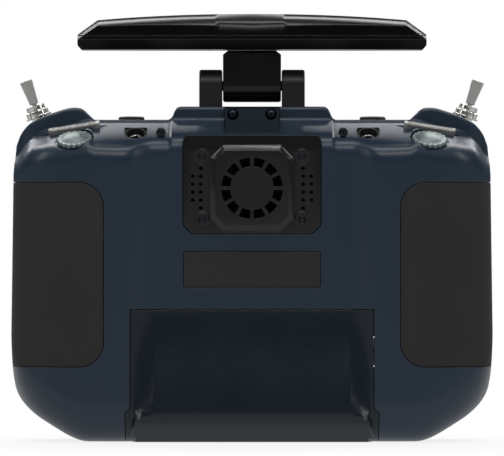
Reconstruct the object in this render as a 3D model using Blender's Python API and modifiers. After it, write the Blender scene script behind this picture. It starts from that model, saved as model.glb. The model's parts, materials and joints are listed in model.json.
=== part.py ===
"""Handheld radio transmitter with two stick gimbals, standing on its flat lower edge.

Metres, +Z up. The rear face looks towards -Y, the face with the sticks and the display towards +Y.
The origin is the centre of the flat lower edge.
"""

import math

import bmesh
import bpy
import numpy as np
from mathutils import Matrix, Vector

MM = 0.001
FORWARDS = Vector((0, 1, 0))

# Overall sizes
BODY_WIDTH = 192.8 * MM
BODY_HEIGHT = 133.3 * MM
LOBE_DEPTH = 29.0 * MM  # how far the palm lobes reach behind the origin
CENTRE_DEPTH = 23.5 * MM  # the same for the flat middle of the rear face
SIDE_DEPTH = 5.0 * MM
FRONT_DEPTH = 20.0 * MM  # how far the front face reaches before the origin
FRONT_SIDE_DEPTH = 15.0 * MM
FRONT_ROUND = 9.2 * MM
PARTING_Y = 12.0 * MM
WALL = 2.8 * MM
GAP = 0.3 * MM  # between any two pieces that touch

# The top: a raised strip in the middle, a lower deck, and a ridge over each lobe
DECK_DROP = 5.3 * MM
STRIP_HALF = 29.0 * MM
RIDGE_REAR_Y = -6.0 * MM
SHOULDER_SLOPE = math.radians(25.6)
SHOULDER_FILLET = 2.5 * MM
LOBE_INNER_X = 51.0 * MM
VALLEY_X = 39.0 * MM
UNDER_RISE = 16.0 * MM
UNDER_RUN = 14.0 * MM
WAIST_TOP_LOSS = 2.2 * MM
WAIST_BOTTOM_LOSS = 0.8 * MM

# Rubber grips
GRIP_INNER_INSET = 37.6 * MM  # from the body's side to the grip's inner edge
GRIP_TOP_INSET = 30.5 * MM
GRIP_BOTTOM = 30.0 * MM
GRIP_CORNER = 9.5 * MM
GRIP_THICKNESS = 1.5 * MM

# Fan cover, fan and label plate
COVER_WIDTH = 54.4 * MM
COVER_HEIGHT = 38.8 * MM
COVER_OVERLAP = 1.8 * MM  # how far the cover reaches above the shoulder's edge
COVER_THICKNESS = 1.6 * MM
COVER_CORNER = 4.0 * MM
GRILLE_SIZE = 33.6 * MM
FAN_DROP = 1.6 * MM  # the fan's axis below the middle of its cover
GRILLE_RISE = 2.2 * MM
GRILLE_CORNER = 5.0 * MM
SLOT_OUTER = 12.2 * MM
SLOT_INNER = 8.6 * MM
SLOT_COUNT = 12
SLOT_SHARE = 0.72
FAN_SIZE = 30.0 * MM
FAN_DEPTH = 7.0 * MM
FAN_BORE = 13.8 * MM
FAN_HUB = 8.2 * MM
FAN_BLADES = 7
COVER_SCREW_X = 19.8 * MM
COVER_SCREW_Z = 12.4 * MM
VENT_PITCH = 3.15 * MM
LABEL_WIDTH = 54.0 * MM
LABEL_HEIGHT = 14.0 * MM
LABEL_TOP_DROP = 57.8 * MM
LABEL_DEPTH = 0.8 * MM

# Battery door, tray and cells
DOOR_HALF = 48.0 * MM
DOOR_FOOT_HALF = 50.0 * MM
DOOR_TOP = 52.4 * MM
DOOR_JOG = 12.6 * MM
DOOR_BULGE = 7.5 * MM
DOOR_LIP = 8.8 * MM
DOOR_WALL = 2.2 * MM
DOOR_FRONT_Y = -8.0 * MM
CELL_RADIUS = 9.2 * MM
CELL_LENGTH = 65.0 * MM
CELL_Y = -7.8 * MM
TRAY_WALL = 1.4 * MM

# Folding antenna
HINGE_Y = 3.0 * MM
HINGE_RISE = 8.4 * MM  # pin above the strip
HINGE_RADIUS = 6.5 * MM
ARM_HALF = 11.6 * MM
COLUMN_RADIUS = 7.0 * MM
EAR_WIDTH = 9.2 * MM
PIN_RADIUS = 2.0 * MM
BLADE_HALF = 69.7 * MM
BLADE_THICKNESS = 14.3 * MM
BLADE_RISE = 14.3 * MM  # blade's underside above the pin
BLADE_DEPTH = 24.0 * MM
SPLIT_SHARE = 0.39
SPLIT_GAP = 0.2 * MM
BRACKET_SCREW_X = 7.6 * MM
BRACKET_SCREW_DROP = 3.3 * MM
BOSS_HALF = 11.0 * MM
BOSS_DEPTH = 4.5 * MM  # behind the ridge, at the top
BOSS_FOOT_DEPTH = 12.0 * MM
BOSS_HEIGHT = 11.7 * MM
SCREW_SEAT_Y = RIDGE_REAR_Y - 2.7 * MM

# Controls on the top and shoulders
PUSH_X = 48.3 * MM
PUSH_RADIUS = 5.2 * MM
PUSH_PROUD = 1.5 * MM
PUSH_Y = 4.0 * MM
DIAL_SIDE = 26.0 * MM  # from the body's side
DIAL_RADIUS = 7.15 * MM
DIAL_Y = -18.9 * MM
DIAL_TEETH = 18
DIAL_HEIGHT = 3.0 * MM
DIAL_RIM = 0.9 * MM
DIAL_TILT = math.radians(5.0)
SLIDER_SIDE = 25.8 * MM
SLIDER_LENGTH = 20.6 * MM
SLIDER_WIDTH = 2.2 * MM
SLIDER_HEIGHT = 2.6 * MM
SLIDER_Y = -10.6 * MM
SLIDER_TILT = math.radians(9.0)
SLIDER_SINK = 0.8 * MM  # how far the bar lies below the shoulder
SLIDER_TRAVEL = 4.0 * MM
JACK_X = 46.2 * MM
JACK_Y = -16.4 * MM
JACK_RADIUS = 4.3 * MM
JACK_TILT = math.radians(37.0)
CASE_SCREW_X = 36.2 * MM
CASE_SCREW_DROP = 10.5 * MM
CASE_SCREW_RADIUS = 1.85 * MM
TOGGLE_SIDE = 11.2 * MM
TOGGLE_Y = 3.0 * MM
TOGGLE_TILT = math.radians(20.0)
TOGGLE_BUSH = 3.0 * MM
TOGGLE_LEVER = 15.8 * MM  # lever tip above the panel
TOGGLE_PIVOT = 1.0 * MM
FRONT_TOGGLE_X = 33.0 * MM
FRONT_TOGGLE_DROP = 15.0 * MM

# Gimbals and front face
GIMBAL_SIDE = 35.4 * MM
GIMBAL_TOP_DROP = 45.3 * MM
GIMBAL_PIVOT_Y = 1.0 * MM
GIMBAL_OPENING = 20.0 * MM
GIMBAL_RIM = 3.0 * MM
DOME_RADIUS = 19.0 * MM
RING_RADIUS = 17.0 * MM
RING_INSIDE = 13.0 * MM
HUB_RADIUS = 5.0 * MM
STICK_RADIUS = 2.0 * MM
STICK_REACH = 44.0 * MM  # tip beyond the pivot
DISPLAY_HALF_WIDTH = 38.0 * MM
DISPLAY_HEIGHT = 52.0 * MM
DISPLAY_BOTTOM = 22.0 * MM
DISPLAY_DEPTH = 4.0 * MM
LENS_THICKNESS = 1.4 * MM
BOARD_THICKNESS = 1.6 * MM
KEY_WIDTH = 11.0 * MM
KEY_HEIGHT = 6.0 * MM
KEY_PROUD = 1.4 * MM
KEY_FLANGE = 1.2 * MM
TRIM_REACH = 31.4 * MM  # trim slot from the gimbal's centre
TRIM_LENGTH = 6.0 * MM
TRIM_WIDTH = 3.6 * MM
TRIM_TRAVEL = 1.5 * MM
ROLLER_RADIUS = 6.0 * MM
ROLLER_WIDTH = 6.0 * MM
POWER_RADIUS = 6.0 * MM
SPEAKER_RADIUS = 9.0 * MM
STRAP_Z = 101.0 * MM
STRAP_HOLE_WIDTH = 10.0 * MM
STRAP_HOLE_DEPTH = 6.6 * MM

# Places that follow from the sizes above
HALF = BODY_WIDTH / 2
TOP = BODY_HEIGHT
DECK = TOP - DECK_DROP
HINGE_Z = TOP + HINGE_RISE
GRIP_TOP = TOP - GRIP_TOP_INSET
SHOULDER_DROP = math.tan(SHOULDER_SLOPE) * (CENTRE_DEPTH + RIDGE_REAR_Y - 0.3 * MM)
COVER_Z = DECK - SHOULDER_DROP + COVER_OVERLAP - COVER_HEIGHT / 2
FAN_Z = COVER_Z - FAN_DROP
LABEL_Z = TOP - LABEL_TOP_DROP - LABEL_HEIGHT / 2
FACE_INNER = FRONT_DEPTH - WALL
GIMBAL_PLATE = 2 * (GIMBAL_OPENING + GIMBAL_RIM)
GIMBAL_X = HALF - GIMBAL_SIDE
GIMBAL_Z = TOP - GIMBAL_TOP_DROP
MIDDLE_Z = TOP * 0.54

# Lines seen from behind, as (distance from the middle, height)
TOP_LINE = [
    (0, TOP),
    (STRIP_HALF, TOP),
    (STRIP_HALF + 2.4 * MM, TOP - 2.7 * MM),
    (STRIP_HALF + 4.4 * MM, DECK),
    (HALF - 33.8 * MM, DECK),
    (HALF - 30.9 * MM, DECK + 2.3 * MM),
    (HALF - 28.2 * MM, DECK + 4.6 * MM),
    (HALF - 25.4 * MM, DECK + 4.9 * MM),
    (HALF - 16.9 * MM, DECK + 2.8 * MM),
    (HALF - 11.8 * MM, DECK + 1.0 * MM),
    (HALF - 6.4 * MM, DECK - 0.9 * MM),
    (HALF - 3.2 * MM, DECK - 3.2 * MM),
    (HALF - 1.2 * MM, DECK - 6.0 * MM),
    (HALF, DECK - 10.0 * MM),
]
SLOPE_LINE = [
    (0, DECK),
    (HALF - 33.8 * MM, DECK),
    (HALF - 22.8 * MM, DECK - 2.8 * MM),
    (HALF - 15.4 * MM, DECK - 4.1 * MM),
    (HALF - 9.2 * MM, DECK - 6.6 * MM),
    (HALF - 4.6 * MM, DECK - 9.5 * MM),
    (HALF, DECK - 15.0 * MM),
]
BOTTOM_LINE = [
    (0, 0),
    (HALF - 31.6 * MM, 0),
    (HALF - 13.2 * MM, 8.3 * MM),
    (HALF - 7.0 * MM, 12.4 * MM),
    (HALF - 3.1 * MM, 16.4 * MM),
    (HALF - 1.0 * MM, 20.6 * MM),
    (HALF, 26.0 * MM),
]
STATIONS = sorted(
    {x for x, _ in TOP_LINE}
    | {HALF - 21.0 * MM, HALF - 9.2 * MM, VALLEY_X, VALLEY_X + 6 * MM, LOBE_INNER_X}
)
SHELL_STATIONS = [-x for x in reversed(STATIONS[1:])] + STATIONS

MATERIALS = {
    "navy_shell": ((0.018, 0.032, 0.055), 0.38, 0.0),
    "black_plastic": ((0.012, 0.012, 0.013), 0.45, 0.0),
    "grip_rubber": ((0.020, 0.020, 0.021), 0.85, 0.0),
    "bright_metal": ((0.55, 0.55, 0.53), 0.28, 1.0),
    "satin_metal": ((0.30, 0.29, 0.27), 0.45, 1.0),
    "dark_metal": ((0.05, 0.05, 0.055), 0.40, 1.0),
    "circuit_board": ((0.01, 0.07, 0.03), 0.50, 0.0),
    "screen_glass": ((0.006, 0.006, 0.008), 0.08, 0.0),
    "cell_wrap": ((0.05, 0.16, 0.30), 0.35, 0.0),
}


# ---------------------------------------------------------------- modelling helpers


def clear_scene():
    for obj in list(bpy.data.objects):
        bpy.data.objects.remove(obj, do_unlink=True)


def make_collection(name):
    collection = bpy.data.collections.new(name)
    bpy.context.scene.collection.children.link(collection)
    return collection


def make_material(name, colour, roughness, metallic):
    material = bpy.data.materials.new(name)
    material.use_nodes = True
    shader = material.node_tree.nodes["Principled BSDF"]
    shader.inputs["Base Color"].default_value = (*colour, 1.0)
    shader.inputs["Roughness"].default_value = roughness
    shader.inputs["Metallic"].default_value = metallic
    return material


def object_of(name, mesh, origin=(0, 0, 0), rotation=None, cutter=False):
    """A new object in the parts' or the cutters' collection."""
    obj = bpy.data.objects.new(name, mesh)
    obj.location = origin
    if rotation is not None:
        obj.rotation_mode = "QUATERNION"
        obj.rotation_quaternion = rotation
    bpy.data.collections["cutters" if cutter else "transmitter"].objects.link(obj)
    if cutter:
        obj.hide_render = True
        obj.display_type = "WIRE"
    return obj


def mesh_from(bm, name):
    bmesh.ops.recalc_face_normals(bm, faces=bm.faces)
    mesh = bpy.data.meshes.new(name)
    bm.to_mesh(mesh)
    bm.free()
    mesh.shade_smooth()
    mesh.set_sharp_from_angle(angle=math.radians(35))
    return mesh


def facing(direction):
    """The rotation that turns a local +Z to this direction."""
    return Vector(direction).to_track_quat("Z", "Y")


def box(name, size, centre, origin=(0, 0, 0), rotation=None, bevel=0.0, cutter=False):
    """A box whose centre is given in the object's own frame."""
    bm = bmesh.new()
    scale = Matrix.Diagonal((*size, 1.0))
    bmesh.ops.create_cube(bm, size=1.0, matrix=Matrix.Translation(centre) @ scale)
    if bevel:
        bmesh.ops.bevel(bm, geom=bm.edges[:], offset=bevel, segments=1, affect="EDGES")
    return object_of(name, mesh_from(bm, name), origin, rotation, cutter)


def rod(name, radius, start, end, origin=(0, 0, 0), rotation=None, tip=None, sides=20, cutter=False):
    """A cylinder or cone frustum between two points of the object's own frame."""
    start, end = Vector(start), Vector(end)
    along = end - start
    bm = bmesh.new()
    matrix = Matrix.Translation((start + end) / 2) @ facing(along).to_matrix().to_4x4()
    bmesh.ops.create_cone(
        bm,
        cap_ends=True,
        segments=sides,
        radius1=radius,
        radius2=radius if tip is None else tip,
        depth=along.length,
        matrix=matrix,
    )
    return object_of(name, mesh_from(bm, name), origin, rotation, cutter)


def turned(name, profile, origin=(0, 0, 0), rotation=None, sides=24, cutter=False):
    """A solid of revolution about local Z: (radius, height) points, from the top down."""
    bm = bmesh.new()
    points = [bm.verts.new((radius, 0, height)) for radius, height in profile]
    for first, second in zip(points, points[1:]):
        bm.edges.new((first, second))
    mesh = bpy.data.meshes.new(name)
    bm.to_mesh(mesh)
    bm.free()
    obj = object_of(name, mesh, origin, rotation, cutter)
    screw = obj.modifiers.new("Turn", "SCREW")
    screw.steps = screw.render_steps = sides
    screw.use_merge_vertices = True
    screw.merge_threshold = 0.00001
    screw.use_smooth_shade = True
    return obj


def prism(name, outline, low, high, origin=(0, 0, 0), rotation=None, cutter=False):
    """A flat outline in local XY, extruded from low to high along local Z."""
    curve = bpy.data.curves.new(name, "CURVE")
    curve.dimensions = "2D"
    curve.fill_mode = "BOTH"
    curve.extrude = (high - low) / 2
    spline = curve.splines.new("POLY")
    spline.points.add(len(outline) - 1)
    for point, (x, y) in zip(spline.points, outline):
        point.co = (x, y, 0, 1)
    spline.use_cyclic_u = True
    drawn = bpy.data.objects.new(name + "_outline", curve)
    bpy.context.scene.collection.objects.link(drawn)
    bpy.context.view_layer.update()
    flat = bpy.data.meshes.new_from_object(drawn.evaluated_get(bpy.context.evaluated_depsgraph_get()))
    bpy.data.objects.remove(drawn)
    bm = bmesh.new()
    bm.from_mesh(flat)
    bmesh.ops.remove_doubles(bm, verts=bm.verts, dist=0.00001)
    bmesh.ops.translate(bm, verts=bm.verts, vec=(0, 0, (low + high) / 2))
    return object_of(name, mesh_from(bm, name), origin, rotation, cutter)


def loft(name, rings, ends=None, origin=(0, 0, 0), cutter=False):
    """A closed solid through rings of equally many points.

    Each end is one flat face, or the faces whose corners the ends argument lists by index.
    """
    bm = bmesh.new()
    rows = [[bm.verts.new(point) for point in ring] for ring in rings]
    count = len(rings[0])
    for first, second in zip(rows, rows[1:]):
        for i in range(count):
            j = (i + 1) % count
            bm.faces.new((first[i], first[j], second[j], second[i]))
    for corners in ends or [range(count)]:
        for row in (rows[0], rows[-1]):
            bm.faces.new([row[i] for i in corners])
    return object_of(name, mesh_from(bm, name), origin, cutter=cutter)


def boolean(target, other, operation):
    modifier = target.modifiers.new(operation.title() + "_" + other.name, "BOOLEAN")
    modifier.operation = operation
    modifier.solver = "EXACT"
    modifier.object = other
    return target


def cut(target, *cutters):
    for cutter in cutters:
        boolean(target, cutter, "DIFFERENCE")
    return target


def join(target, *others):
    for other in others:
        boolean(target, other, "UNION")
    return target


def dress(obj, material):
    obj.data.materials.clear()
    obj.data.materials.append(bpy.data.materials[material])
    return obj


def arc(centre, radius, start, end, steps):
    """Points on a circle between two angles in degrees, both ends included."""
    angles = np.radians(np.linspace(start, end, steps + 1))
    return [(centre[0] + radius * math.cos(a), centre[1] + radius * math.sin(a)) for a in angles]


def rounded_rectangle(width, height, corner, steps=3):
    """An outline centred on the origin, counter-clockwise."""
    x, y = width / 2 - corner, height / 2 - corner
    outline = []
    for centre, start in (((x, y), 0), ((-x, y), 90), ((-x, -y), 180), ((x, -y), 270)):
        outline += arc(centre, corner, start, start + 90, steps)
    return outline


def line_at(line, x):
    return float(np.interp(x, [point[0] for point in line], [point[1] for point in line]))


def ease(share):
    share = min(max(share, 0.0), 1.0)
    return share * share * (3 - 2 * share)


# ---------------------------------------------------------------- the body's surface


def rear_depth(x):
    """How far the rear face lies behind the origin, at a distance from the middle."""
    x = abs(x)
    if x <= LOBE_INNER_X:
        share = ease((x - VALLEY_X) / (LOBE_INNER_X - VALLEY_X))
        return CENTRE_DEPTH + (LOBE_DEPTH - CENTRE_DEPTH) * share
    share = min((x - LOBE_INNER_X) / (HALF - LOBE_INNER_X), 1.0)
    return SIDE_DEPTH + (LOBE_DEPTH - SIDE_DEPTH) * math.sqrt(1 - share * share)


def front_depth(x):
    share = min(max((abs(x) - (HALF - FRONT_ROUND)) / FRONT_ROUND, 0.0), 1.0)
    return FRONT_SIDE_DEPTH + (FRONT_DEPTH - FRONT_SIDE_DEPTH) * math.sqrt(1 - share * share)


def ridge_rear(x):
    """Where the ridge's rear wall stands. It moves forwards at the body's side."""
    return RIDGE_REAR_Y + 8 * MM * ease((abs(x) - (HALF - 8 * MM)) / (8 * MM))


def rear_section(x, inset):
    """(y, z) points from the parting plane over the top, down the rear face and under."""
    top = line_at(TOP_LINE, abs(x)) - inset
    rear = ridge_rear(x) + 0.9 * inset
    depth = rear_depth(x) - inset
    bottom = line_at(BOTTOM_LINE, abs(x)) + inset
    edge = 0.8 * MM
    foot = min(line_at(SLOPE_LINE, abs(x)) - 1.1 * inset, top - edge - 0.3 * MM)
    knee = foot - math.tan(SHOULDER_SLOPE) * (depth + rear - 0.3 * MM)
    along = (math.cos(SHOULDER_SLOPE) * SHOULDER_FILLET, math.sin(SHOULDER_SLOPE) * SHOULDER_FILLET)
    front = PARTING_Y - GAP / 2 + (5 * MM if inset else 0)
    section = [
        (front, top),
        (rear + edge, top),
        (rear, top - edge),
        (rear - 0.3 * MM, foot),
        (-depth + along[0], knee + along[1]),
        (-depth + 0.2 * along[0], knee - 0.1 * SHOULDER_FILLET),
        (-depth, knee - SHOULDER_FILLET),
    ]
    low = bottom + UNDER_RISE
    section += [(-depth, low + (knee - SHOULDER_FILLET - low) * share) for share in (0.65, 0.3)]
    for angle in np.radians((0, 30, 60, 90)):
        y = -depth + UNDER_RUN * (1 - math.cos(angle))
        section.append((y, bottom + UNDER_RISE * (1 - math.sin(angle))))
    section.append((front, bottom))
    return section


def front_section(x, inset):
    """(y, z) points from the parting plane over the top edge, down the front face and under."""
    top = line_at(TOP_LINE, abs(x)) - inset
    bottom = line_at(BOTTOM_LINE, abs(x)) + inset
    depth = front_depth(x) - inset
    corner = max(4.0 * MM - inset, 1.0 * MM)
    start = PARTING_Y + GAP / 2 - (5 * MM if inset else 0)
    section = [(start, top)]
    section += arc((depth - corner, top - corner), corner, 90, 0, 2)
    section += [(depth, bottom + corner + (top - bottom - 2 * corner) * s) for s in (0.7, 0.3)]
    section += arc((depth - corner, bottom + corner), corner, 0, -90, 2)
    section.append((start, bottom))
    return section


def body_loft(name, section_at, inset=0.0, cutter=False):
    """The body's outer solid, or the same solid shrunk by an inset."""
    shrink = (HALF - inset) / HALF
    rings = []
    for x in SHELL_STATIONS:
        section = section_at(x, inset)
        count = len(section)
        back = [(section[0][0], z) for _, z in section[2:-2]]
        ring = []
        for y, z in section + back[::-1]:
            loss = WAIST_TOP_LOSS if z > MIDDLE_Z else WAIST_BOTTOM_LOSS
            reach = ease((abs(x) - (HALF - 16 * MM)) / (16 * MM))
            waist = loss * reach * ((z - MIDDLE_Z) / (TOP - 15 * MM - MIDDLE_Z)) ** 2
            ring.append((math.copysign(abs(x) * shrink - waist, x), y, z))
        rings.append(ring)
    last = 2 * count - 5
    across = [0] + list(range(last, count - 1, -1)) + [count - 1]
    ends = [(i + 1, i + 2, across[i + 1], across[i]) for i in range(count - 3)]
    return loft(name, rings, ends, cutter=cutter)


def shoulder_point(x, y):
    """A point on the sloping shoulder."""
    foot = line_at(SLOPE_LINE, abs(x))
    z = foot - math.tan(SHOULDER_SLOPE) * (ridge_rear(x) - 0.3 * MM - y)
    return Vector((x, y, z))


def shoulder_normal(side, tilt):
    """A direction out of the shoulder, tipped outwards by an angle."""
    return Vector((math.tan(tilt) * side, -math.tan(SHOULDER_SLOPE), 1.0)).normalized()


# ---------------------------------------------------------------- housings and grips


def grip_outline(clearance):
    """Seen from behind, from the grip's inner edge to well past the body's side."""
    inner = HALF - GRIP_INNER_INSET - clearance
    outer = HALF + 10 * MM
    low, high = GRIP_BOTTOM - clearance, GRIP_TOP + clearance
    corner = GRIP_CORNER + clearance
    outline = [(outer, low), (outer, high)]
    outline += arc((inner + corner, high - corner), corner, 90, 180, 4)
    outline += arc((inner + corner, low + corner), corner, 180, 270, 4)
    return outline


def rear_prism(name, outline, low, high, cutter=True):
    """An outline drawn in x and z, extruded along y between two y values."""
    turned_up = Matrix.Rotation(math.pi / 2, 4, "X").to_quaternion()
    return prism(name, outline, -high, -low, rotation=turned_up, cutter=cutter)


def side_prism(name, outline, low, high, cutter=True):
    """An outline drawn in y and z, extruded along x between two x values."""
    turned_up = (Matrix.Rotation(math.pi / 2, 4, "Z") @ Matrix.Rotation(math.pi / 2, 4, "X")).to_quaternion()
    return prism(name, outline, low, high, rotation=turned_up, cutter=cutter)


def make_grips():
    for side, label in ((-1, "left"), (1, "right")):
        outline = [(side * x, z) for x, z in grip_outline(0.0)]
        pocket_outline = [(side * x, z) for x, z in grip_outline(GAP)]
        pocket = rear_prism(f"grip_pocket_{label}", pocket_outline, -40 * MM, PARTING_Y - 2.0 * MM)
        cut(pocket, bpy.data.objects["grip_pocket_floor"])
        grip = body_loft(f"grip_{label}", rear_section)
        bounds = rear_prism(f"grip_bounds_{label}", outline, -40 * MM, PARTING_Y - 2.0 * MM - GAP)
        boolean(grip, bounds, "INTERSECT")
        cut(grip, bpy.data.objects["grip_underside"])
        dress(grip, "grip_rubber")
        cut(bpy.data.objects["rear_housing"], pocket)


def door_outline(clearance):
    wide, foot = DOOR_HALF + clearance, DOOR_FOOT_HALF + clearance
    jog = DOOR_FOOT_HALF - DOOR_HALF
    right = [
        (foot, -5 * MM),
        (foot, DOOR_JOG - jog / 2),
        (wide, DOOR_JOG + jog / 2),
        (wide, DOOR_TOP + clearance),
    ]
    return right + [(-x, z) for x, z in reversed(right)]


def make_rear_housing():
    housing = body_loft("rear_housing", rear_section)
    dress(housing, "navy_shell")
    boss = side_prism(
        "hinge_boss",
        [
            (RIDGE_REAR_Y + 3 * MM, TOP - BOSS_HEIGHT - 2 * MM),
            (RIDGE_REAR_Y + 3 * MM, TOP - GAP),
            (RIDGE_REAR_Y - BOSS_DEPTH, TOP - GAP),
            (RIDGE_REAR_Y - BOSS_FOOT_DEPTH, TOP - BOSS_HEIGHT),
            (RIDGE_REAR_Y - BOSS_FOOT_DEPTH + 2 * MM, TOP - BOSS_HEIGHT - 2 * MM),
        ],
        -BOSS_HALF,
        BOSS_HALF,
    )
    boss_room = box(
        "boss_room",
        (2 * BOSS_HALF - 1 * MM, 20 * MM, 16 * MM),
        (0, RIDGE_REAR_Y - 4 * MM, TOP - 7 * MM),
        cutter=True,
    )
    cavity = body_loft("rear_cavity", rear_section, WALL, cutter=True)
    cut(cavity, boss_room)
    join(housing, boss)
    cut(housing, cavity)
    door_cut = rear_prism("door_cut", door_outline(GAP), -45 * MM, DOOR_FRONT_Y + GAP)
    cut(housing, door_cut)
    window = rear_prism(
        "fan_window",
        [(x, z + FAN_Z) for x, z in rounded_rectangle(COVER_WIDTH - 5 * MM, FAN_SIZE + 2.4 * MM, 2 * MM)],
        -CENTRE_DEPTH - 3 * MM,
        -CENTRE_DEPTH + WALL + 3 * MM,
    )
    rebate_outline = rounded_rectangle(COVER_WIDTH + 2 * GAP, COVER_HEIGHT + 2 * GAP, COVER_CORNER)
    rebate = rear_prism(
        "cover_rebate",
        [(x, z + COVER_Z) for x, z in rebate_outline],
        -CENTRE_DEPTH - 9 * MM,
        -CENTRE_DEPTH + COVER_THICKNESS,
    )
    label_outline = rounded_rectangle(LABEL_WIDTH + 2 * GAP, LABEL_HEIGHT + 2 * GAP, 1 * MM)
    label = rear_prism(
        "label_rebate",
        [(x, z + LABEL_Z) for x, z in label_outline],
        -CENTRE_DEPTH - 3 * MM,
        -CENTRE_DEPTH + LABEL_DEPTH + GAP,
    )
    cut(housing, window, rebate, label)
    for side in (-1, 1):
        cut(housing, *shoulder_cutters(side))
    bar = box("bracket_pocket", bar_size(GAP), bar_centre(), cutter=True)
    cut(housing, bar)
    for side in (-1, 1):
        slot = box(
            f"ear_slot_{side}",
            (EAR_WIDTH + 2 * GAP, 2 * HINGE_RADIUS + 2 * GAP, 8 * MM),
            (side * (ARM_HALF + GAP + EAR_WIDTH / 2), HINGE_Y, TOP),
            cutter=True,
        )
        hole = rod(
            f"bracket_screw_hole_{side}",
            1.7 * MM,
            (side * BRACKET_SCREW_X, SCREW_SEAT_Y - 1 * MM, TOP - BRACKET_SCREW_DROP),
            (side * BRACKET_SCREW_X, 0, TOP - BRACKET_SCREW_DROP),
            cutter=True,
            sides=12,
        )
        head = rod(
            f"bracket_head_room_{side}",
            2.4 * MM,
            (side * BRACKET_SCREW_X, SCREW_SEAT_Y - 15 * MM, TOP - BRACKET_SCREW_DROP),
            (side * BRACKET_SCREW_X, SCREW_SEAT_Y, TOP - BRACKET_SCREW_DROP),
            cutter=True,
            sides=16,
        )
        cut(housing, slot, hole, head)
    body_loft("grip_pocket_floor", rear_section, GRIP_THICKNESS + GAP, cutter=True)
    body_loft("grip_underside", rear_section, GRIP_THICKNESS, cutter=True)
    make_grips()
    return housing


def shoulder_cutters(side):
    """What one shoulder's controls need cut from the rear housing."""
    dial_at = shoulder_point(side * (HALF - DIAL_SIDE), DIAL_Y)
    up = facing(shoulder_normal(side, DIAL_TILT))
    well = rod(
        f"dial_well_{side}",
        DIAL_RADIUS + 2 * GAP,
        (0, 0, -1.2 * MM),
        (0, 0, 6 * MM),
        dial_at,
        up,
        cutter=True,
    )
    bore = rod(f"dial_bore_{side}", 3 * MM + GAP, (0, 0, -8 * MM), (0, 0, 2 * MM), dial_at, up, cutter=True)
    slider_at = shoulder_point(side * (HALF - SLIDER_SIDE), SLIDER_Y)
    channel_reach = SLIDER_LENGTH / 2 + SLIDER_TRAVEL + GAP
    channel = box(
        f"slider_channel_{side}",
        (2 * channel_reach, SLIDER_WIDTH + 2 * GAP, 6 * MM),
        (0, 0, 3 * MM - SLIDER_SINK - GAP),
        slider_at,
        slider_turn(side),
        cutter=True,
    )
    slot = box(
        f"slider_slot_{side}",
        (4 * MM + 2 * SLIDER_TRAVEL + 2 * GAP, 1.6 * MM + 2 * GAP, 12 * MM),
        (0, 0, -4 * MM),
        slider_at,
        slider_turn(side),
        cutter=True,
    )
    jack_at = shoulder_point(side * JACK_X, JACK_Y)
    port = rod(
        f"jack_port_{side}",
        JACK_RADIUS,
        (0, 0, -12 * MM),
        (0, 0, 8 * MM),
        jack_at,
        jack_turn(),
        cutter=True,
    )
    push = rod(
        f"push_hole_{side}",
        PUSH_RADIUS + GAP,
        (side * PUSH_X, PUSH_Y, DECK - WALL - 2 * MM),
        (side * PUSH_X, PUSH_Y, DECK + 2 * MM),
        cutter=True,
    )
    screw = rod(
        f"case_screw_hole_{side}",
        CASE_SCREW_RADIUS,
        (side * CASE_SCREW_X, -CENTRE_DEPTH - 3 * MM, TOP - CASE_SCREW_DROP),
        (side * CASE_SCREW_X, -5 * MM, TOP - CASE_SCREW_DROP),
        cutter=True,
        sides=14,
    )
    toggle = rod(
        f"toggle_hole_{side}",
        TOGGLE_BUSH + GAP,
        (0, 0, -8 * MM),
        (0, 0, 5 * MM),
        toggle_place(side),
        toggle_turn(side),
        cutter=True,
        sides=16,
    )
    return [well, bore, channel, slot, port, push, screw, toggle]


def make_front_housing():
    housing = body_loft("front_housing", front_section)
    dress(housing, "navy_shell")
    cut(housing, body_loft("front_cavity", front_section, WALL, cutter=True))
    display_z = DISPLAY_BOTTOM + DISPLAY_HEIGHT / 2
    pocket = rounded_rectangle(2 * DISPLAY_HALF_WIDTH + 2 * GAP, DISPLAY_HEIGHT + 2 * GAP, 2 * MM)
    view = rounded_rectangle(2 * DISPLAY_HALF_WIDTH - 5 * MM, DISPLAY_HEIGHT - 5 * MM, 1 * MM)
    lens_pocket = rear_prism(
        "lens_pocket",
        [(x, z + display_z) for x, z in pocket],
        FRONT_DEPTH - LENS_THICKNESS - GAP,
        FRONT_DEPTH + 3 * MM,
    )
    lens_view = rear_prism(
        "lens_view",
        [(x, z + display_z) for x, z in view],
        FACE_INNER - 2 * MM,
        FRONT_DEPTH + 2 * MM,
    )
    cut(housing, lens_pocket, lens_view)
    for index, (name, (x, z), size) in enumerate(front_holes()):
        outline = [(px + x, pz + z) for px, pz in size]
        opening = rear_prism(
            f"front_hole_{index}_{name}",
            outline,
            FACE_INNER - 2 * MM,
            FRONT_DEPTH + 2 * MM,
        )
        cut(housing, opening)
    for bearing in roller_bearings():
        join(housing, bearing)
    return housing


def circle(radius, sides):
    step = 360 / sides
    return arc((0, 0), radius, step / 2, 360 - step / 2, sides - 1)


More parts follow.
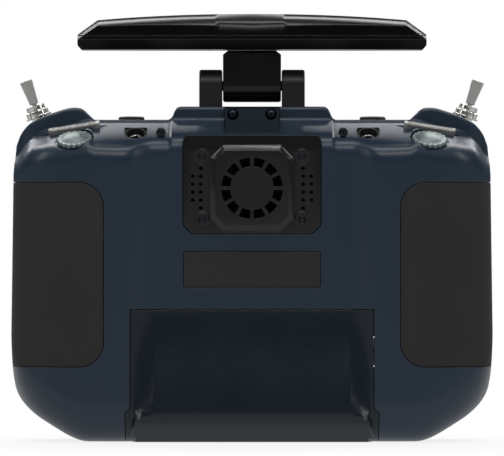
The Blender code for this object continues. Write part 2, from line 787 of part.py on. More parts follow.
def front_holes():
    """Name, centre and outline of each opening in the front face, sorted by kind."""
    holes = []
    for side in (-1, 1):
        holes.append(("gimbal", (side * GIMBAL_X, GIMBAL_Z), circle(GIMBAL_OPENING, 32)))
        toggle_at = (side * FRONT_TOGGLE_X, TOP - FRONT_TOGGLE_DROP)
        holes.append(("toggle", toggle_at, circle(TOGGLE_BUSH + GAP, 16)))
    slot = (TRIM_WIDTH + 2 * GAP, TRIM_LENGTH + 2 * TRIM_TRAVEL + 2 * GAP)
    for name, place, upright in trim_places():
        size = slot if upright else slot[::-1]
        holes.append((name, place, rounded_rectangle(*size, 0.8 * MM, 1)))
    for name, place in key_places():
        holes.append((name, place, rounded_rectangle(KEY_WIDTH + 2 * GAP, KEY_HEIGHT + 2 * GAP, 1.5 * MM, 2)))
    holes.append(("power", power_place(), circle(POWER_RADIUS + GAP, 20)))
    roller_slot = rounded_rectangle(ROLLER_WIDTH + 2 * GAP, 2 * ROLLER_RADIUS + 2 * GAP, 0.8 * MM, 1)
    holes.append(("roller", roller_place(), roller_slot))
    for row in (-1, 0, 1):
        x, z = speaker_place()
        slot_at = (x, z + row * 3.4 * MM)
        holes.append((f"speaker_{row + 2}", slot_at, rounded_rectangle(11 * MM, 1.6 * MM, 0.7 * MM, 1)))
    return holes


# ---------------------------------------------------------------- rear face


def make_fan_cover():
    outline = rounded_rectangle(COVER_WIDTH, COVER_HEIGHT, COVER_CORNER)
    rear = -CENTRE_DEPTH - GAP
    place = (0, 0, FAN_Z)
    cover = rear_prism("fan_cover", outline, rear, -CENTRE_DEPTH + COVER_THICKNESS - 2 * GAP, cutter=False)
    cover.location = (0, 0, COVER_Z)
    raised = rear_prism(
        "grille_block",
        rounded_rectangle(GRILLE_SIZE, GRILLE_SIZE + 0.6 * MM, GRILLE_CORNER, 2),
        rear - GRILLE_RISE,
        rear + 0.5 * MM,
    )
    raised.location = place
    join(cover, raised)
    step = 2 * math.pi / SLOT_COUNT
    for index in range(SLOT_COUNT):
        middle = (index + 0.5) * step
        angles = [middle + step * SLOT_SHARE * turn for turn in (-0.5, 0, 0.5)]
        sector = [(SLOT_OUTER * math.cos(a), SLOT_OUTER * math.sin(a)) for a in angles]
        sector += [(SLOT_INNER * math.cos(a), SLOT_INNER * math.sin(a)) for a in reversed(angles)]
        slot = rear_prism(f"fan_slot_{index}", sector, rear - 5 * MM, rear + 5 * MM)
        slot.location = place
        cut(cover, slot)
    for index, (x, z) in enumerate(vent_places()):
        start, end = (x, rear - 2 * MM, z), (x, rear + 5 * MM, z)
        cut(cover, rod(f"vent_{index}", 0.8 * MM, start, end, place, cutter=True, sides=6))
    for index, (x, z) in enumerate(screw_corners(), 1):
        start = (x, rear - 2 * MM, z)
        seat_end, bore_end = (x, rear + 1 * MM, z), (x, rear + 5 * MM, z)
        seat = rod(f"cover_seat_{index}", 1.5 * MM, start, seat_end, place, cutter=True, sides=12)
        bore = rod(f"cover_bore_{index}", 0.9 * MM, start, bore_end, place, cutter=True, sides=8)
        cut(cover, seat, bore)
        at = (x, rear, FAN_Z + z)
        screw = rod(f"cover_screw_{index}", 1.2 * MM, (0, -0.3 * MM, 0), (0, 0.7 * MM, 0), at, sides=12)
        shank = rod(
            f"cover_shank_{index}",
            0.6 * MM,
            (0, 0.5 * MM, 0),
            (0, 1.8 * MM, 0),
            at,
            cutter=True,
            sides=8,
        )
        dress(join(screw, shank), "dark_metal")
    dress(cover, "black_plastic")


def vent_places():
    """Two bowed columns of vents on each side of the grille."""
    return [
        (side * (GRILLE_SIZE / 2 + offset), (row - (rows - 1) / 2) * VENT_PITCH)
        for side in (-1, 1)
        for offset, rows in ((3.5 * MM, 6), (6.7 * MM, 4))
        for row in range(rows)
    ]


def screw_corners():
    return [(x * COVER_SCREW_X, z * COVER_SCREW_Z) for z in (1, -1) for x in (-1, 1)]


def make_fan():
    rear = -CENTRE_DEPTH + COVER_THICKNESS - GAP
    place = (0, 0, FAN_Z)
    outline = rounded_rectangle(FAN_SIZE, FAN_SIZE, 2 * MM, 2)
    frame = rear_prism("fan_frame", outline, rear, rear + FAN_DEPTH, cutter=False)
    frame.location = place
    back = rear + FAN_DEPTH
    start, end = (0, rear - 1 * MM, 0), (0, back + 1 * MM, 0)
    bore = rod("fan_bore", FAN_BORE, start, end, place, cutter=True, sides=32)
    plate = rod("fan_motor_plate", FAN_HUB, (0, back - 1.2 * MM, 0), (0, back, 0), place, cutter=True)
    post = rod("fan_post", 1.5 * MM, (0, rear + 1.5 * MM, 0), (0, back, 0), place, cutter=True, sides=12)
    cut(frame, bore)
    for index in range(3):
        angle = math.radians(90 + 120 * index)
        middle = (FAN_HUB + FAN_BORE) / 2
        spoke = box(
            f"fan_spoke_{index}",
            (FAN_BORE - FAN_HUB + 3 * MM, 1.2 * MM, 2.0 * MM),
            (middle, 0, 0),
            (0, back - 0.6 * MM, FAN_Z),
            Matrix.Rotation(-angle, 4, "Y").to_quaternion(),
            cutter=True,
        )
        join(frame, spoke)
    join(frame, plate, post)
    dress(frame, "black_plastic")
    axis = (0, rear, FAN_Z)
    rotor = rod("fan_rotor", FAN_HUB, (0, 0.4 * MM, 0), (0, FAN_DEPTH - 1.2 * MM - GAP, 0), axis)
    start, end = (0, 1.1 * MM, 0), (0, FAN_DEPTH, 0)
    hollow = rod("rotor_bore", 1.5 * MM + GAP, start, end, axis, cutter=True, sides=12)
    for index in range(FAN_BLADES):
        spin = Matrix.Rotation(2 * math.pi * index / FAN_BLADES, 4, "Y")
        lean = Matrix.Rotation(math.radians(35), 4, "X")
        blade = box(
            f"fan_blade_{index}",
            (FAN_BORE - 0.6 * MM - FAN_HUB + 1 * MM, 5.0 * MM, 0.8 * MM),
            ((FAN_BORE - 0.6 * MM + FAN_HUB - 1 * MM) / 2, 0, 0),
            (0, rear + 3 * MM, FAN_Z),
            (spin @ lean).to_quaternion(),
            cutter=True,
        )
        join(rotor, blade)
    cut(rotor, hollow)
    dress(rotor, "black_plastic")


def make_label_plate():
    outline = rounded_rectangle(LABEL_WIDTH, LABEL_HEIGHT, 1 * MM)
    plate = rear_prism("label_plate", outline, -CENTRE_DEPTH, -CENTRE_DEPTH + LABEL_DEPTH, cutter=False)
    plate.location = (0, 0, LABEL_Z)
    dress(plate, "black_plastic")


def door_section(x, inset):
    """(y, z) points down the door's face and under it: flush at its edges, bulged in the middle."""
    share = ease((DOOR_HALF - abs(x)) / (10 * MM))
    depth = rear_depth(x)
    heights = (DOOR_TOP + 2 * MM, 45 * MM, 36 * MM, 27 * MM, UNDER_RISE)
    flush = [(-depth, z) for z in heights]
    for angle in np.radians((30, 60, 90)):
        flush.append((-depth + UNDER_RUN * (1 - math.cos(angle)), UNDER_RISE * (1 - math.sin(angle))))
    bulged = [(-depth - DOOR_BULGE * ease((DOOR_TOP - z) / (DOOR_TOP - DOOR_LIP)), z) for z in heights]
    rim = -depth - DOOR_BULGE
    bulged += [(rim, DOOR_LIP + 1.5 * MM), (rim + 1.2 * MM, DOOR_LIP - 0.6 * MM), (rim + 9 * MM, 0)]
    section = []
    for (fy, fz), (by, bz) in zip(flush, bulged):
        section.append((fy + (by - fy) * share, fz + (bz - fz) * share))
    section.append((DOOR_FRONT_Y, 0))
    if inset:
        section = [(y + inset, max(z, inset) if i > 4 else z) for i, (y, z) in enumerate(section)]
        section[-1] = (DOOR_FRONT_Y, inset)
    return section


def make_battery_door():
    stations = [0, 20 * MM, 36 * MM, 40 * MM, 43 * MM, 46 * MM, DOOR_HALF, DOOR_FOOT_HALF + 1 * MM]
    stations = [-x for x in reversed(stations[1:])] + stations
    rings = []
    for x in stations:
        outer, inner = door_section(x, 0.0), door_section(x, DOOR_WALL)
        rings.append([(x, y, z) for y, z in outer + inner[::-1]])
    door = loft("battery_door", rings)
    boolean(door, rear_prism("door_bounds", door_outline(0.0), -45 * MM, 0), "INTERSECT")
    dress(door, "navy_shell")


def make_battery():
    floor = WALL + GAP
    depth = CELL_RADIUS + 1 * MM
    half = CELL_LENGTH / 2 + GAP + TRAY_WALL
    height = 4 * CELL_RADIUS + 3 * GAP + 2 * TRAY_WALL
    front = CELL_Y + CELL_RADIUS + GAP + TRAY_WALL
    tray = box("battery_tray", (2 * half, depth, height), (0, front - depth / 2, floor + height / 2))
    room = box(
        "tray_room",
        (2 * (half - TRAY_WALL), depth, height - 2 * TRAY_WALL),
        (0, front - TRAY_WALL - depth / 2, floor + height / 2),
        cutter=True,
    )
    dress(cut(tray, room), "black_plastic")
    for index, label in enumerate(("lower", "upper")):
        z = floor + TRAY_WALL + GAP + CELL_RADIUS + index * (2 * CELL_RADIUS + GAP)
        cell = rod(
            f"battery_cell_{label}",
            CELL_RADIUS,
            (-CELL_LENGTH / 2, 0, 0),
            (CELL_LENGTH / 2, 0, 0),
            (0, CELL_Y, z),
            sides=24,
        )
        dress(cell, "cell_wrap")


# ---------------------------------------------------------------- folding antenna


def bar_size(clearance):
    width = 2 * (ARM_HALF + GAP + EAR_WIDTH) + 2 * clearance
    return (width, 2 * HINGE_RADIUS + 2 * clearance, 4.4 * MM + 2 * clearance)


def bar_centre():
    return (0, HINGE_Y, TOP - 1.3 * MM - 2.2 * MM)


def make_hinge():
    bracket = box("hinge_bracket", bar_size(0.0), bar_centre())
    dress(bracket, "black_plastic")
    low = bar_centre()[2] - HINGE_Z
    outline = [(-HINGE_RADIUS, low), (HINGE_RADIUS, low)] + arc((0, 0), HINGE_RADIUS, 0, 180, 10)
    for side in (-1, 1):
        inner = side * (ARM_HALF + GAP)
        outer = inner + side * EAR_WIDTH
        ear = side_prism(f"ear_{side}", outline, min(inner, outer), max(inner, outer))
        ear.location = (0, HINGE_Y, HINGE_Z)
        join(bracket, ear)
    reach = ARM_HALF + GAP + EAR_WIDTH
    axis = (0, HINGE_Y, HINGE_Z)
    past = reach + 1 * MM
    cut(bracket, rod("bracket_bore", PIN_RADIUS + GAP, (-past, 0, 0), (past, 0, 0), axis, cutter=True))
    pin_half = reach - 0.4 * MM
    pin = rod("hinge_pin", PIN_RADIUS, (-pin_half, 0, 0), (pin_half, 0, 0), axis)
    dress(pin, "dark_metal")
    for side, label in ((-1, "left"), (1, "right")):
        at = (side * BRACKET_SCREW_X, SCREW_SEAT_Y, TOP - BRACKET_SCREW_DROP)
        hole = rod(f"bracket_thread_{label}", 1.3 * MM, (0, 0, 0), (0, 11 * MM, 0), at, cutter=True, sides=12)
        cut(bracket, hole)
        screw = rod(f"bracket_screw_{label}", 2.1 * MM, (0, -2.0 * MM, 0), (0, -GAP, 0), at, sides=16)
        start, end = (0, -1 * MM, 0), (0, 10 * MM, 0)
        shank = rod(f"bracket_shank_{label}", 1.0 * MM, start, end, at, cutter=True, sides=10)
        dress(join(screw, shank), "dark_metal")


def blade_section(x):
    """Points round the antenna blade, from the hinge: thinner and narrower towards its tips."""
    share = abs(x) / BLADE_HALF
    crown = BLADE_THICKNESS * (1 - 0.22 * share**2.2)
    if abs(x) > BLADE_HALF - 8 * MM:
        crown -= (abs(x) - (BLADE_HALF - 8 * MM)) * 0.62
    half = BLADE_DEPTH / 2 * (1 - 0.25 * share**2)
    rear_top = crown - BLADE_THICKNESS * 0.17 * (1 - 0.7 * share)
    points = [
        (-half + 3 * MM, 0),
        (-half, 0.28 * BLADE_THICKNESS),
        (-half + 1.5 * MM, rear_top),
        (-half + 6 * MM, crown),
        (half - 6 * MM, crown),
        (half - 1.5 * MM, rear_top),
        (half, 0.28 * BLADE_THICKNESS),
        (half - 3 * MM, 0),
    ]
    return [(x, y, BLADE_RISE + z) for y, z in points]


def make_antenna():
    hinge = (0, HINGE_Y, HINGE_Z)
    arm = rod("antenna_arm", HINGE_RADIUS, (-ARM_HALF, 0, 0), (ARM_HALF, 0, 0), hinge, sides=28)
    neck_top = BLADE_RISE - GAP
    chamfer = 2.2 * MM
    outline = [
        (-ARM_HALF, 0),
        (ARM_HALF, 0),
        (ARM_HALF, neck_top - chamfer),
        (ARM_HALF - chamfer, neck_top),
        (chamfer - ARM_HALF, neck_top),
        (-ARM_HALF, neck_top - chamfer),
    ]
    neck = rear_prism("arm_neck", outline, -HINGE_RADIUS + 0.5 * MM, HINGE_RADIUS - 0.5 * MM)
    neck.location = hinge
    start, end = (0, 0, 3 * MM), (0, 0, neck_top - 0.3 * MM)
    column = rod("arm_column", COLUMN_RADIUS, start, end, hinge, cutter=True, sides=24)
    bore = rod("arm_bore", PIN_RADIUS + GAP, (-15 * MM, 0, 0), (15 * MM, 0, 0), hinge, cutter=True)
    join(arm, neck, column)
    cut(arm, bore)
    dress(arm, "black_plastic")
    stations = [0, 15 * MM, 30 * MM, 45 * MM, BLADE_HALF - 8 * MM, BLADE_HALF - 3 * MM, BLADE_HALF]
    stations = [-x for x in reversed(stations[1:])] + stations
    split = BLADE_RISE + SPLIT_SHARE * BLADE_THICKNESS
    reach = (3 * BLADE_HALF, 3 * BLADE_DEPTH, 30 * MM)
    above = box("above_split", reach, (0, 0, split + 15 * MM - 0.5 * SPLIT_GAP), hinge, cutter=True)
    below = box("below_split", reach, (0, 0, split - 15 * MM + 0.5 * SPLIT_GAP), hinge, cutter=True)
    rings = [blade_section(x) for x in stations]
    dress(cut(loft("antenna_blade", rings, origin=hinge), above), "black_plastic")
    dress(cut(loft("antenna_lid", rings, origin=hinge), below), "black_plastic")


# ---------------------------------------------------------------- top and shoulder controls


def make_push_button(side, label):
    button = rod(
        f"push_button_{label}",
        PUSH_RADIUS,
        (0, 0, -WALL - GAP - 0.5 * MM),
        (0, 0, PUSH_PROUD),
        (side * PUSH_X, PUSH_Y, DECK),
    )
    flange = rod(
        f"push_flange_{label}",
        PUSH_RADIUS + 1 * MM,
        (0, 0, -WALL - GAP - 2 * MM),
        (0, 0, -WALL - GAP),
        (side * PUSH_X, PUSH_Y, DECK),
        cutter=True,
    )
    dress(join(button, flange), "black_plastic")


def make_dial(side, label):
    at = shoulder_point(side * (HALF - DIAL_SIDE), DIAL_Y)
    turn = facing(shoulder_normal(side, DIAL_TILT))
    outline = []
    for index in range(2 * DIAL_TEETH):
        radius = DIAL_RADIUS - (0.6 * MM if index % 2 else 0)
        angle = math.pi * index / DIAL_TEETH
        outline.append((radius * math.cos(angle), radius * math.sin(angle)))
    dial = prism(f"dial_{label}", outline, -0.9 * MM, DIAL_RIM, at, turn)
    edge = 0.8 * DIAL_RADIUS
    crown = DIAL_HEIGHT - DIAL_RIM
    dome = [(edge * share, DIAL_RIM + crown * (1 - share**2)) for share in (0, 0.4, 0.7, 0.9)]
    cap = turned(
        f"dial_cap_{label}",
        [*dome, (edge, DIAL_RIM + 0.1 * MM), (edge, 0), (0, 0)],
        at,
        turn,
        cutter=True,
    )
    shaft = rod(f"dial_shaft_{label}", 3 * MM, (0, 0, -7 * MM), (0, 0, 0), at, turn, cutter=True, sides=16)
    dress(join(dial, cap, shaft), "bright_metal")


def slider_turn(side):
    """Local X runs along the shoulder, local Z out of it."""
    normal = shoulder_normal(side, SLIDER_TILT)
    along = Vector((1, 0, -side * math.tan(SLIDER_TILT))).normalized()
    return Matrix((along, normal.cross(along), normal)).transposed().to_quaternion()


def make_slider(side, label):
    at = shoulder_point(side * (HALF - SLIDER_SIDE), SLIDER_Y)
    turn = slider_turn(side)
    size = (SLIDER_LENGTH, SLIDER_WIDTH, SLIDER_HEIGHT)
    middle = (0, 0, SLIDER_HEIGHT / 2 - SLIDER_SINK)
    bar = box(f"slider_{label}", size, middle, at, turn, bevel=0.3 * MM)
    stem = box(f"slider_stem_{label}", (4 * MM, 1.6 * MM, 6 * MM), (0, 0, -2.6 * MM), at, turn, cutter=True)
    dress(join(bar, stem), "satin_metal")


def jack_turn():
    return facing((0, -math.sin(JACK_TILT), math.cos(JACK_TILT)))


def make_jack(side, name):
    at = shoulder_point(side * JACK_X, JACK_Y)
    jack = rod(name, JACK_RADIUS - GAP, (0, 0, -9 * MM), (0, 0, -1.6 * MM), at, jack_turn())
    start, end = (0, 0, -7.5 * MM), (0, 0, 0)
    socket = rod(name + "_socket", 1.8 * MM, start, end, at, jack_turn(), cutter=True, sides=14)
    dress(cut(jack, socket), "bright_metal")


def toggle_place(side):
    x = side * (HALF - TOGGLE_SIDE)
    return Vector((x, TOGGLE_Y, line_at(TOP_LINE, abs(x))))


def toggle_turn(side):
    """Local Z along the lever, local X across the direction in which it swings."""
    return Matrix.Rotation(side * TOGGLE_TILT, 4, "Y").to_quaternion()


def make_toggle(name, at, turn):
    """A panel switch: body and bushing under a dress nut, and a flat bat lever."""
    middle = (0, 0, -WALL - 2.6 * MM - 3.8 * MM)
    body = box(f"{name}_switch", (6.6 * MM, 9 * MM, 7.6 * MM), middle, at, turn)
    bush = rod(
        f"{name}_bush",
        TOGGLE_BUSH,
        (0, 0, -WALL - 3 * MM),
        (0, 0, 3 * MM),
        at,
        turn,
        cutter=True,
        sides=16,
    )
    nut = rod(
        f"{name}_nut",
        4.8 * MM,
        (0, 0, 0.5 * MM),
        (0, 0, 2.7 * MM),
        at,
        turn,
        tip=4.4 * MM,
        cutter=True,
        sides=18,
    )
    crown = rod(f"{name}_crown", 3.8 * MM, (0, 0, 2.6 * MM), (0, 0, 4.9 * MM), at, turn, cutter=True, sides=6)
    throat = rod(
        f"{name}_throat",
        1.5 * MM,
        (0, 0, TOGGLE_PIVOT - 2.5 * MM),
        (0, 0, 5.2 * MM),
        at,
        turn,
        tip=2.5 * MM,
        cutter=True,
        sides=14,
    )
    join(body, bush, nut, crown)
    cut(body, throat)
    dress(body, "bright_metal")
    pivot = at + turn @ Vector((0, 0, TOGGLE_PIVOT))
    low, high = 5.9 * MM - TOGGLE_PIVOT, TOGGLE_LEVER - TOGGLE_PIVOT
    outline = [(-1.8 * MM, low), (1.8 * MM, low), (2.6 * MM, high), (-2.6 * MM, high)]
    lever = rear_prism(f"{name}_lever", outline, -1.2 * MM, 1.2 * MM, cutter=False)
    lever.data.transform(lever.rotation_quaternion.to_matrix().to_4x4())
    lever.location = pivot
    lever.rotation_quaternion = turn
    start, end = (0, 0, -1.2 * MM), (0, 0, low + 0.5 * MM)
    shaft = rod(f"{name}_shaft", 0.9 * MM, start, end, pivot, turn, cutter=True, sides=12)
    dress(join(lever, shaft), "satin_metal")


def front_toggle_place(side):
    return Vector((side * FRONT_TOGGLE_X, FRONT_DEPTH, TOP - FRONT_TOGGLE_DROP))


# ---------------------------------------------------------------- gimbals and front controls


def make_gimbal(side, label):
    """A fixed frame, a ring that tips about X in it, and a stick that tips about Z in the ring."""
    at = Vector((side * GIMBAL_X, GIMBAL_PIVOT_Y, GIMBAL_Z))
    plate_back = FACE_INNER - GAP - 2.4 * MM - GIMBAL_PIVOT_Y
    frame = rear_prism(
        f"gimbal_frame_{label}",
        rounded_rectangle(GIMBAL_PLATE, GIMBAL_PLATE, 3 * MM, 2),
        plate_back,
        plate_back + 2.4 * MM,
        cutter=False,
    )
    frame.location = at
    opening = rod(
        f"frame_opening_{label}",
        GIMBAL_OPENING + 0.6 * MM,
        (0, plate_back - 1 * MM, 0),
        (0, plate_back + 4 * MM, 0),
        at,
        cutter=True,
        sides=32,
    )
    cut(frame, opening)
    lug_inner = DOME_RADIUS + 2 * GAP
    for end in (-1, 1):
        length = plate_back + 1 * MM + 5 * MM
        lug = box(
            f"frame_lug_{label}_{end}",
            (3.6 * MM, length, 9 * MM),
            (end * (lug_inner + 1.8 * MM), plate_back + 1 * MM - length / 2, 0),
            at,
            cutter=True,
        )
        join(frame, lug)
    reach = lug_inner + 4 * MM
    start, end = (-reach, 0, 0), (reach, 0, 0)
    cut(frame, rod(f"frame_bore_{label}", 1.4 * MM + GAP, start, end, at, cutter=True, sides=12))
    dress(frame, "dark_metal")

    ring = rod(f"gimbal_ring_{label}", RING_RADIUS, (0, -4 * MM, 0), (0, 4 * MM, 0), at, sides=28)
    start, end = (0, -6 * MM, 0), (0, 6 * MM, 0)
    inside = rod(f"ring_inside_{label}", RING_INSIDE, start, end, at, cutter=True, sides=28)
    cut(ring, inside)
    for end in (-1, 1):
        trunnion = rod(
            f"trunnion_{label}_{end}",
            1.4 * MM,
            (end * (RING_RADIUS - 1.5 * MM), 0, 0),
            (end * (lug_inner + 3 * MM), 0, 0),
            at,
            cutter=True,
            sides=12,
        )
        join(ring, trunnion)
    ring_bore = rod(
        f"ring_bore_{label}",
        1.3 * MM + GAP,
        (0, 0, -25 * MM),
        (0, 0, 25 * MM),
        at,
        cutter=True,
        sides=12,
    )
    cut(ring, ring_bore)
    dress(ring, "dark_metal")

    stick = turned(
        f"gimbal_stick_{label}",
        [
            (0, STICK_REACH),
            (2.6 * MM, STICK_REACH),
            (3.4 * MM, STICK_REACH - 1 * MM),
            (3.4 * MM, STICK_REACH - 9 * MM),
            (STICK_RADIUS, STICK_REACH - 10 * MM),
            (STICK_RADIUS, 9 * MM),
            (0, 9 * MM),
        ],
        at,
        facing(FORWARDS),
        sides=16,
    )
    dome_profile = [
        (DOME_RADIUS * math.sin(a), DOME_RADIUS * math.cos(a)) for a in np.radians((0, 14, 28, 42, 56))
    ]
    inner = DOME_RADIUS - 1.2 * MM
    dome_profile += [(inner * math.sin(a), inner * math.cos(a)) for a in np.radians((56, 42, 28, 14, 0))]
    dome = turned(f"dome_{label}", dome_profile, at, facing(FORWARDS), sides=24, cutter=True)
    hub_top = DOME_RADIUS - 0.7 * MM
    hub = rod(f"stick_hub_{label}", HUB_RADIUS, (0, -6 * MM, 0), (0, hub_top, 0), at, cutter=True, sides=16)
    reach = RING_RADIUS - 0.6 * MM
    axle = rod(f"stick_axle_{label}", 1.3 * MM, (0, 0, -reach), (0, 0, reach), at, cutter=True, sides=12)
    join(stick, dome, hub, axle)
    dress(stick, "satin_metal")


def trim_places():
    """Name, centre and whether upright, of each trim switch on the front face."""
    places = []
    for side, label in ((-1, "left"), (1, "right")):
        places.append((f"trim_{label}_upright", (side * (GIMBAL_X - TRIM_REACH), GIMBAL_Z), True))
        places.append((f"trim_{label}_level", (side * GIMBAL_X, GIMBAL_Z - TRIM_REACH), False))
    return places


def make_trim(name, place, upright):
    x, z = place
    at = (x, FACE_INNER, z)
    size = (TRIM_WIDTH, TRIM_LENGTH) if upright else (TRIM_LENGTH, TRIM_WIDTH)
    proud = WALL + 2.4 * MM
    lever = box(name, (size[0], proud + 1 * MM, size[1]), (0, (proud - 1 * MM) / 2, 0), at, bevel=0.4 * MM)
    spread = 2 * TRIM_TRAVEL + 2.4 * MM
    margins = (1.6 * MM, spread) if upright else (spread, 1.6 * MM)
    plate = (size[0] + margins[0], 1.2 * MM, size[1] + margins[1])
    flange = box(f"{name}_flange", plate, (0, -GAP - 0.6 * MM, 0), at, cutter=True)
    dress(join(lever, flange), "satin_metal")


def key_places():
    outer = GIMBAL_X + 10 * MM
    inner = GIMBAL_X - 8 * MM
    high, low = DISPLAY_BOTTOM + 20 * MM, DISPLAY_BOTTOM + 6 * MM
    return [
        ("key_left_upper", (-inner, high)),
        ("key_left_lower", (-inner, low)),
        ("key_right_upper", (outer, high)),
        ("key_right_lower", (outer, low)),
    ]


def make_key(name, place):
    x, z = place
    at = (x, FACE_INNER, z)
    outline = rounded_rectangle(KEY_WIDTH, KEY_HEIGHT, 1.5 * MM, 2)
    key = rear_prism(name, outline, -GAP - KEY_FLANGE / 2, WALL + KEY_PROUD, cutter=False)
    key.location = at
    flange = box(
        f"{name}_flange",
        (KEY_WIDTH + 2 * MM, KEY_FLANGE, KEY_HEIGHT + 2 * MM),
        (0, -GAP - KEY_FLANGE / 2, 0),
        at,
        cutter=True,
    )
    dress(join(key, flange), "black_plastic")


def power_place():
    return (0, GIMBAL_Z)


def make_power_button():
    x, z = power_place()
    at = (x, FACE_INNER, z)
    button = rod("power_button", POWER_RADIUS, (0, -GAP - 0.6 * MM, 0), (0, WALL + KEY_PROUD, 0), at)
    start, end = (0, -GAP - KEY_FLANGE, 0), (0, -GAP, 0)
    flange = rod("power_flange", POWER_RADIUS + 1 * MM, start, end, at, cutter=True)
    dress(join(button, flange), "satin_metal")


def roller_place():
    return (GIMBAL_X - 9 * MM, DISPLAY_BOTTOM + 13 * MM)


def roller_axis():
    x, z = roller_place()
    return Vector((x, FACE_INNER - 1.6 * MM, z))


def roller_bearings():
    """Two ears behind the front face that carry the roller's axle."""
    ears = []
    for end in (-1, 1):
        offset = end * (ROLLER_WIDTH / 2 + 1.6 * MM)
        ear = box(f"roller_ear_{end}", (1.6 * MM, 5 * MM, 5 * MM), (offset, 0, 0), roller_axis(), cutter=True)
        hole = rod(
            f"roller_ear_hole_{end}",
            1 * MM + GAP,
            (offset - 3 * MM, 0, 0),
            (offset + 3 * MM, 0, 0),
            roller_axis(),
            cutter=True,
            sides=12,
        )
        ears.append(cut(ear, hole))
    return ears


def make_roller():
    half = ROLLER_WIDTH / 2
    roller = rod("roller", ROLLER_RADIUS, (-half, 0, 0), (half, 0, 0), roller_axis(), sides=22)
    reach = half + 2.2 * MM
    axle = rod("roller_axle", 1 * MM, (-reach, 0, 0), (reach, 0, 0), roller_axis(), cutter=True, sides=10)
    dress(join(roller, axle), "satin_metal")


def speaker_place():
    return (0, TOP - 20 * MM)


def make_speaker():
    x, z = speaker_place()
    speaker = turned(
        "speaker",
        [
            (0, -GAP - 1.2 * MM),
            (SPEAKER_RADIUS - 2 * MM, -GAP - 0.4 * MM),
            (SPEAKER_RADIUS - 1.5 * MM, -GAP),
            (SPEAKER_RADIUS, -GAP),
            (SPEAKER_RADIUS, -GAP - 2.2 * MM),
            (0.6 * SPEAKER_RADIUS, -GAP - 4.4 * MM),
            (0, -GAP - 4.4 * MM),
        ],
        (x, FACE_INNER, z),
        facing(FORWARDS),
    )
    dress(speaker, "black_plastic")


def make_strap_eye():
    """A flat eyelet that stands out of the front face, for a neck strap's clip."""
    place = (0, FRONT_DEPTH + GAP, STRAP_Z)
    outer = rounded_rectangle(STRAP_HOLE_WIDTH + 6 * MM, STRAP_HOLE_DEPTH + 5.4 * MM, 4.5 * MM, 4)
    inner = rounded_rectangle(STRAP_HOLE_WIDTH, STRAP_HOLE_DEPTH, 3 * MM, 3)
    middle = STRAP_HOLE_DEPTH / 2 + 2.2 * MM
    eye = prism("strap_eye", [(x, y + middle) for x, y in outer], -1.1 * MM, 1.1 * MM, place)
    hole = prism("strap_hole", [(x, y + middle) for x, y in inner], -3 * MM, 3 * MM, place, cutter=True)
    flush = box("strap_flush", (30 * MM, 6 * MM, 6 * MM), (0, -3 * MM, 0), place, cutter=True)
    size = (STRAP_HOLE_WIDTH + 4 * MM, 1.4 * MM, 6 * MM)
    foot = box("strap_foot", size, (0, 0.7 * MM, 0), place, cutter=True)
    cut(eye, hole, flush)
    dress(join(eye, foot), "bright_metal")


def make_display():
    z = DISPLAY_BOTTOM + DISPLAY_HEIGHT / 2
    outline = rounded_rectangle(2 * DISPLAY_HALF_WIDTH, DISPLAY_HEIGHT, 2 * MM)
    lens = rear_prism("display_lens", outline, FRONT_DEPTH - LENS_THICKNESS, FRONT_DEPTH, cutter=False)
    lens.location = (0, 0, z)
    dress(lens, "screen_glass")
    back = FACE_INNER - GAP - DISPLAY_DEPTH
    module = box(
        "display_module",
        (2 * DISPLAY_HALF_WIDTH - 2 * MM, DISPLAY_DEPTH, DISPLAY_HEIGHT),
        (0, back + DISPLAY_DEPTH / 2, 0),
        (0, 0, z),
    )
    dress(module, "dark_metal")
    board = box(
        "main_board",
        (2 * DISPLAY_HALF_WIDTH - 6 * MM, BOARD_THICKNESS, TOP - 30 * MM - DISPLAY_BOTTOM),
        (0, back - GAP - BOARD_THICKNESS / 2, DISPLAY_BOTTOM + (TOP - 30 * MM - DISPLAY_BOTTOM) / 2),
    )
    dress(board, "circuit_board")


def main():
    clear_scene()
    make_collection("transmitter")
    make_collection("cutters")
    for name, (colour, roughness, metallic) in MATERIALS.items():
        make_material(name, colour, roughness, metallic)
    make_rear_housing()
    make_front_housing()
    make_fan_cover()
    make_fan()
    make_label_plate()
    make_battery_door()
    make_battery()
    make_hinge()
    make_antenna()
    for side, label in ((-1, "left"), (1, "right")):
        make_push_button(side, label)
        make_dial(side, label)
        make_slider(side, label)
        make_toggle(f"shoulder_toggle_{label}", toggle_place(side), toggle_turn(side))
        make_toggle(f"front_toggle_{label}", front_toggle_place(side), facing(FORWARDS))
        make_gimbal(side, label)
    make_jack(-1, "trainer_jack")
    make_jack(1, "audio_jack")
    for name, place, upright in trim_places():
        make_trim(name, place, upright)
    for name, place in key_places():
        make_key(name, place)
    make_power_button()
    make_roller()
    make_speaker()
    make_strap_eye()
    make_display()


main()
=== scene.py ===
"""Looks of a handheld radio transmitter with two stick gimbals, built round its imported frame.

Everything is in metres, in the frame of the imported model: +Z up, the rear face towards -Y and the
face with the sticks towards +Y. Left and right are as seen from behind.
"""

import json
import logging
import math
from collections.abc import Callable, Sequence
from dataclasses import dataclass, field
from enum import Enum

import bmesh
import bpy
import numpy as np
from mathutils import Matrix, Quaternion, Vector


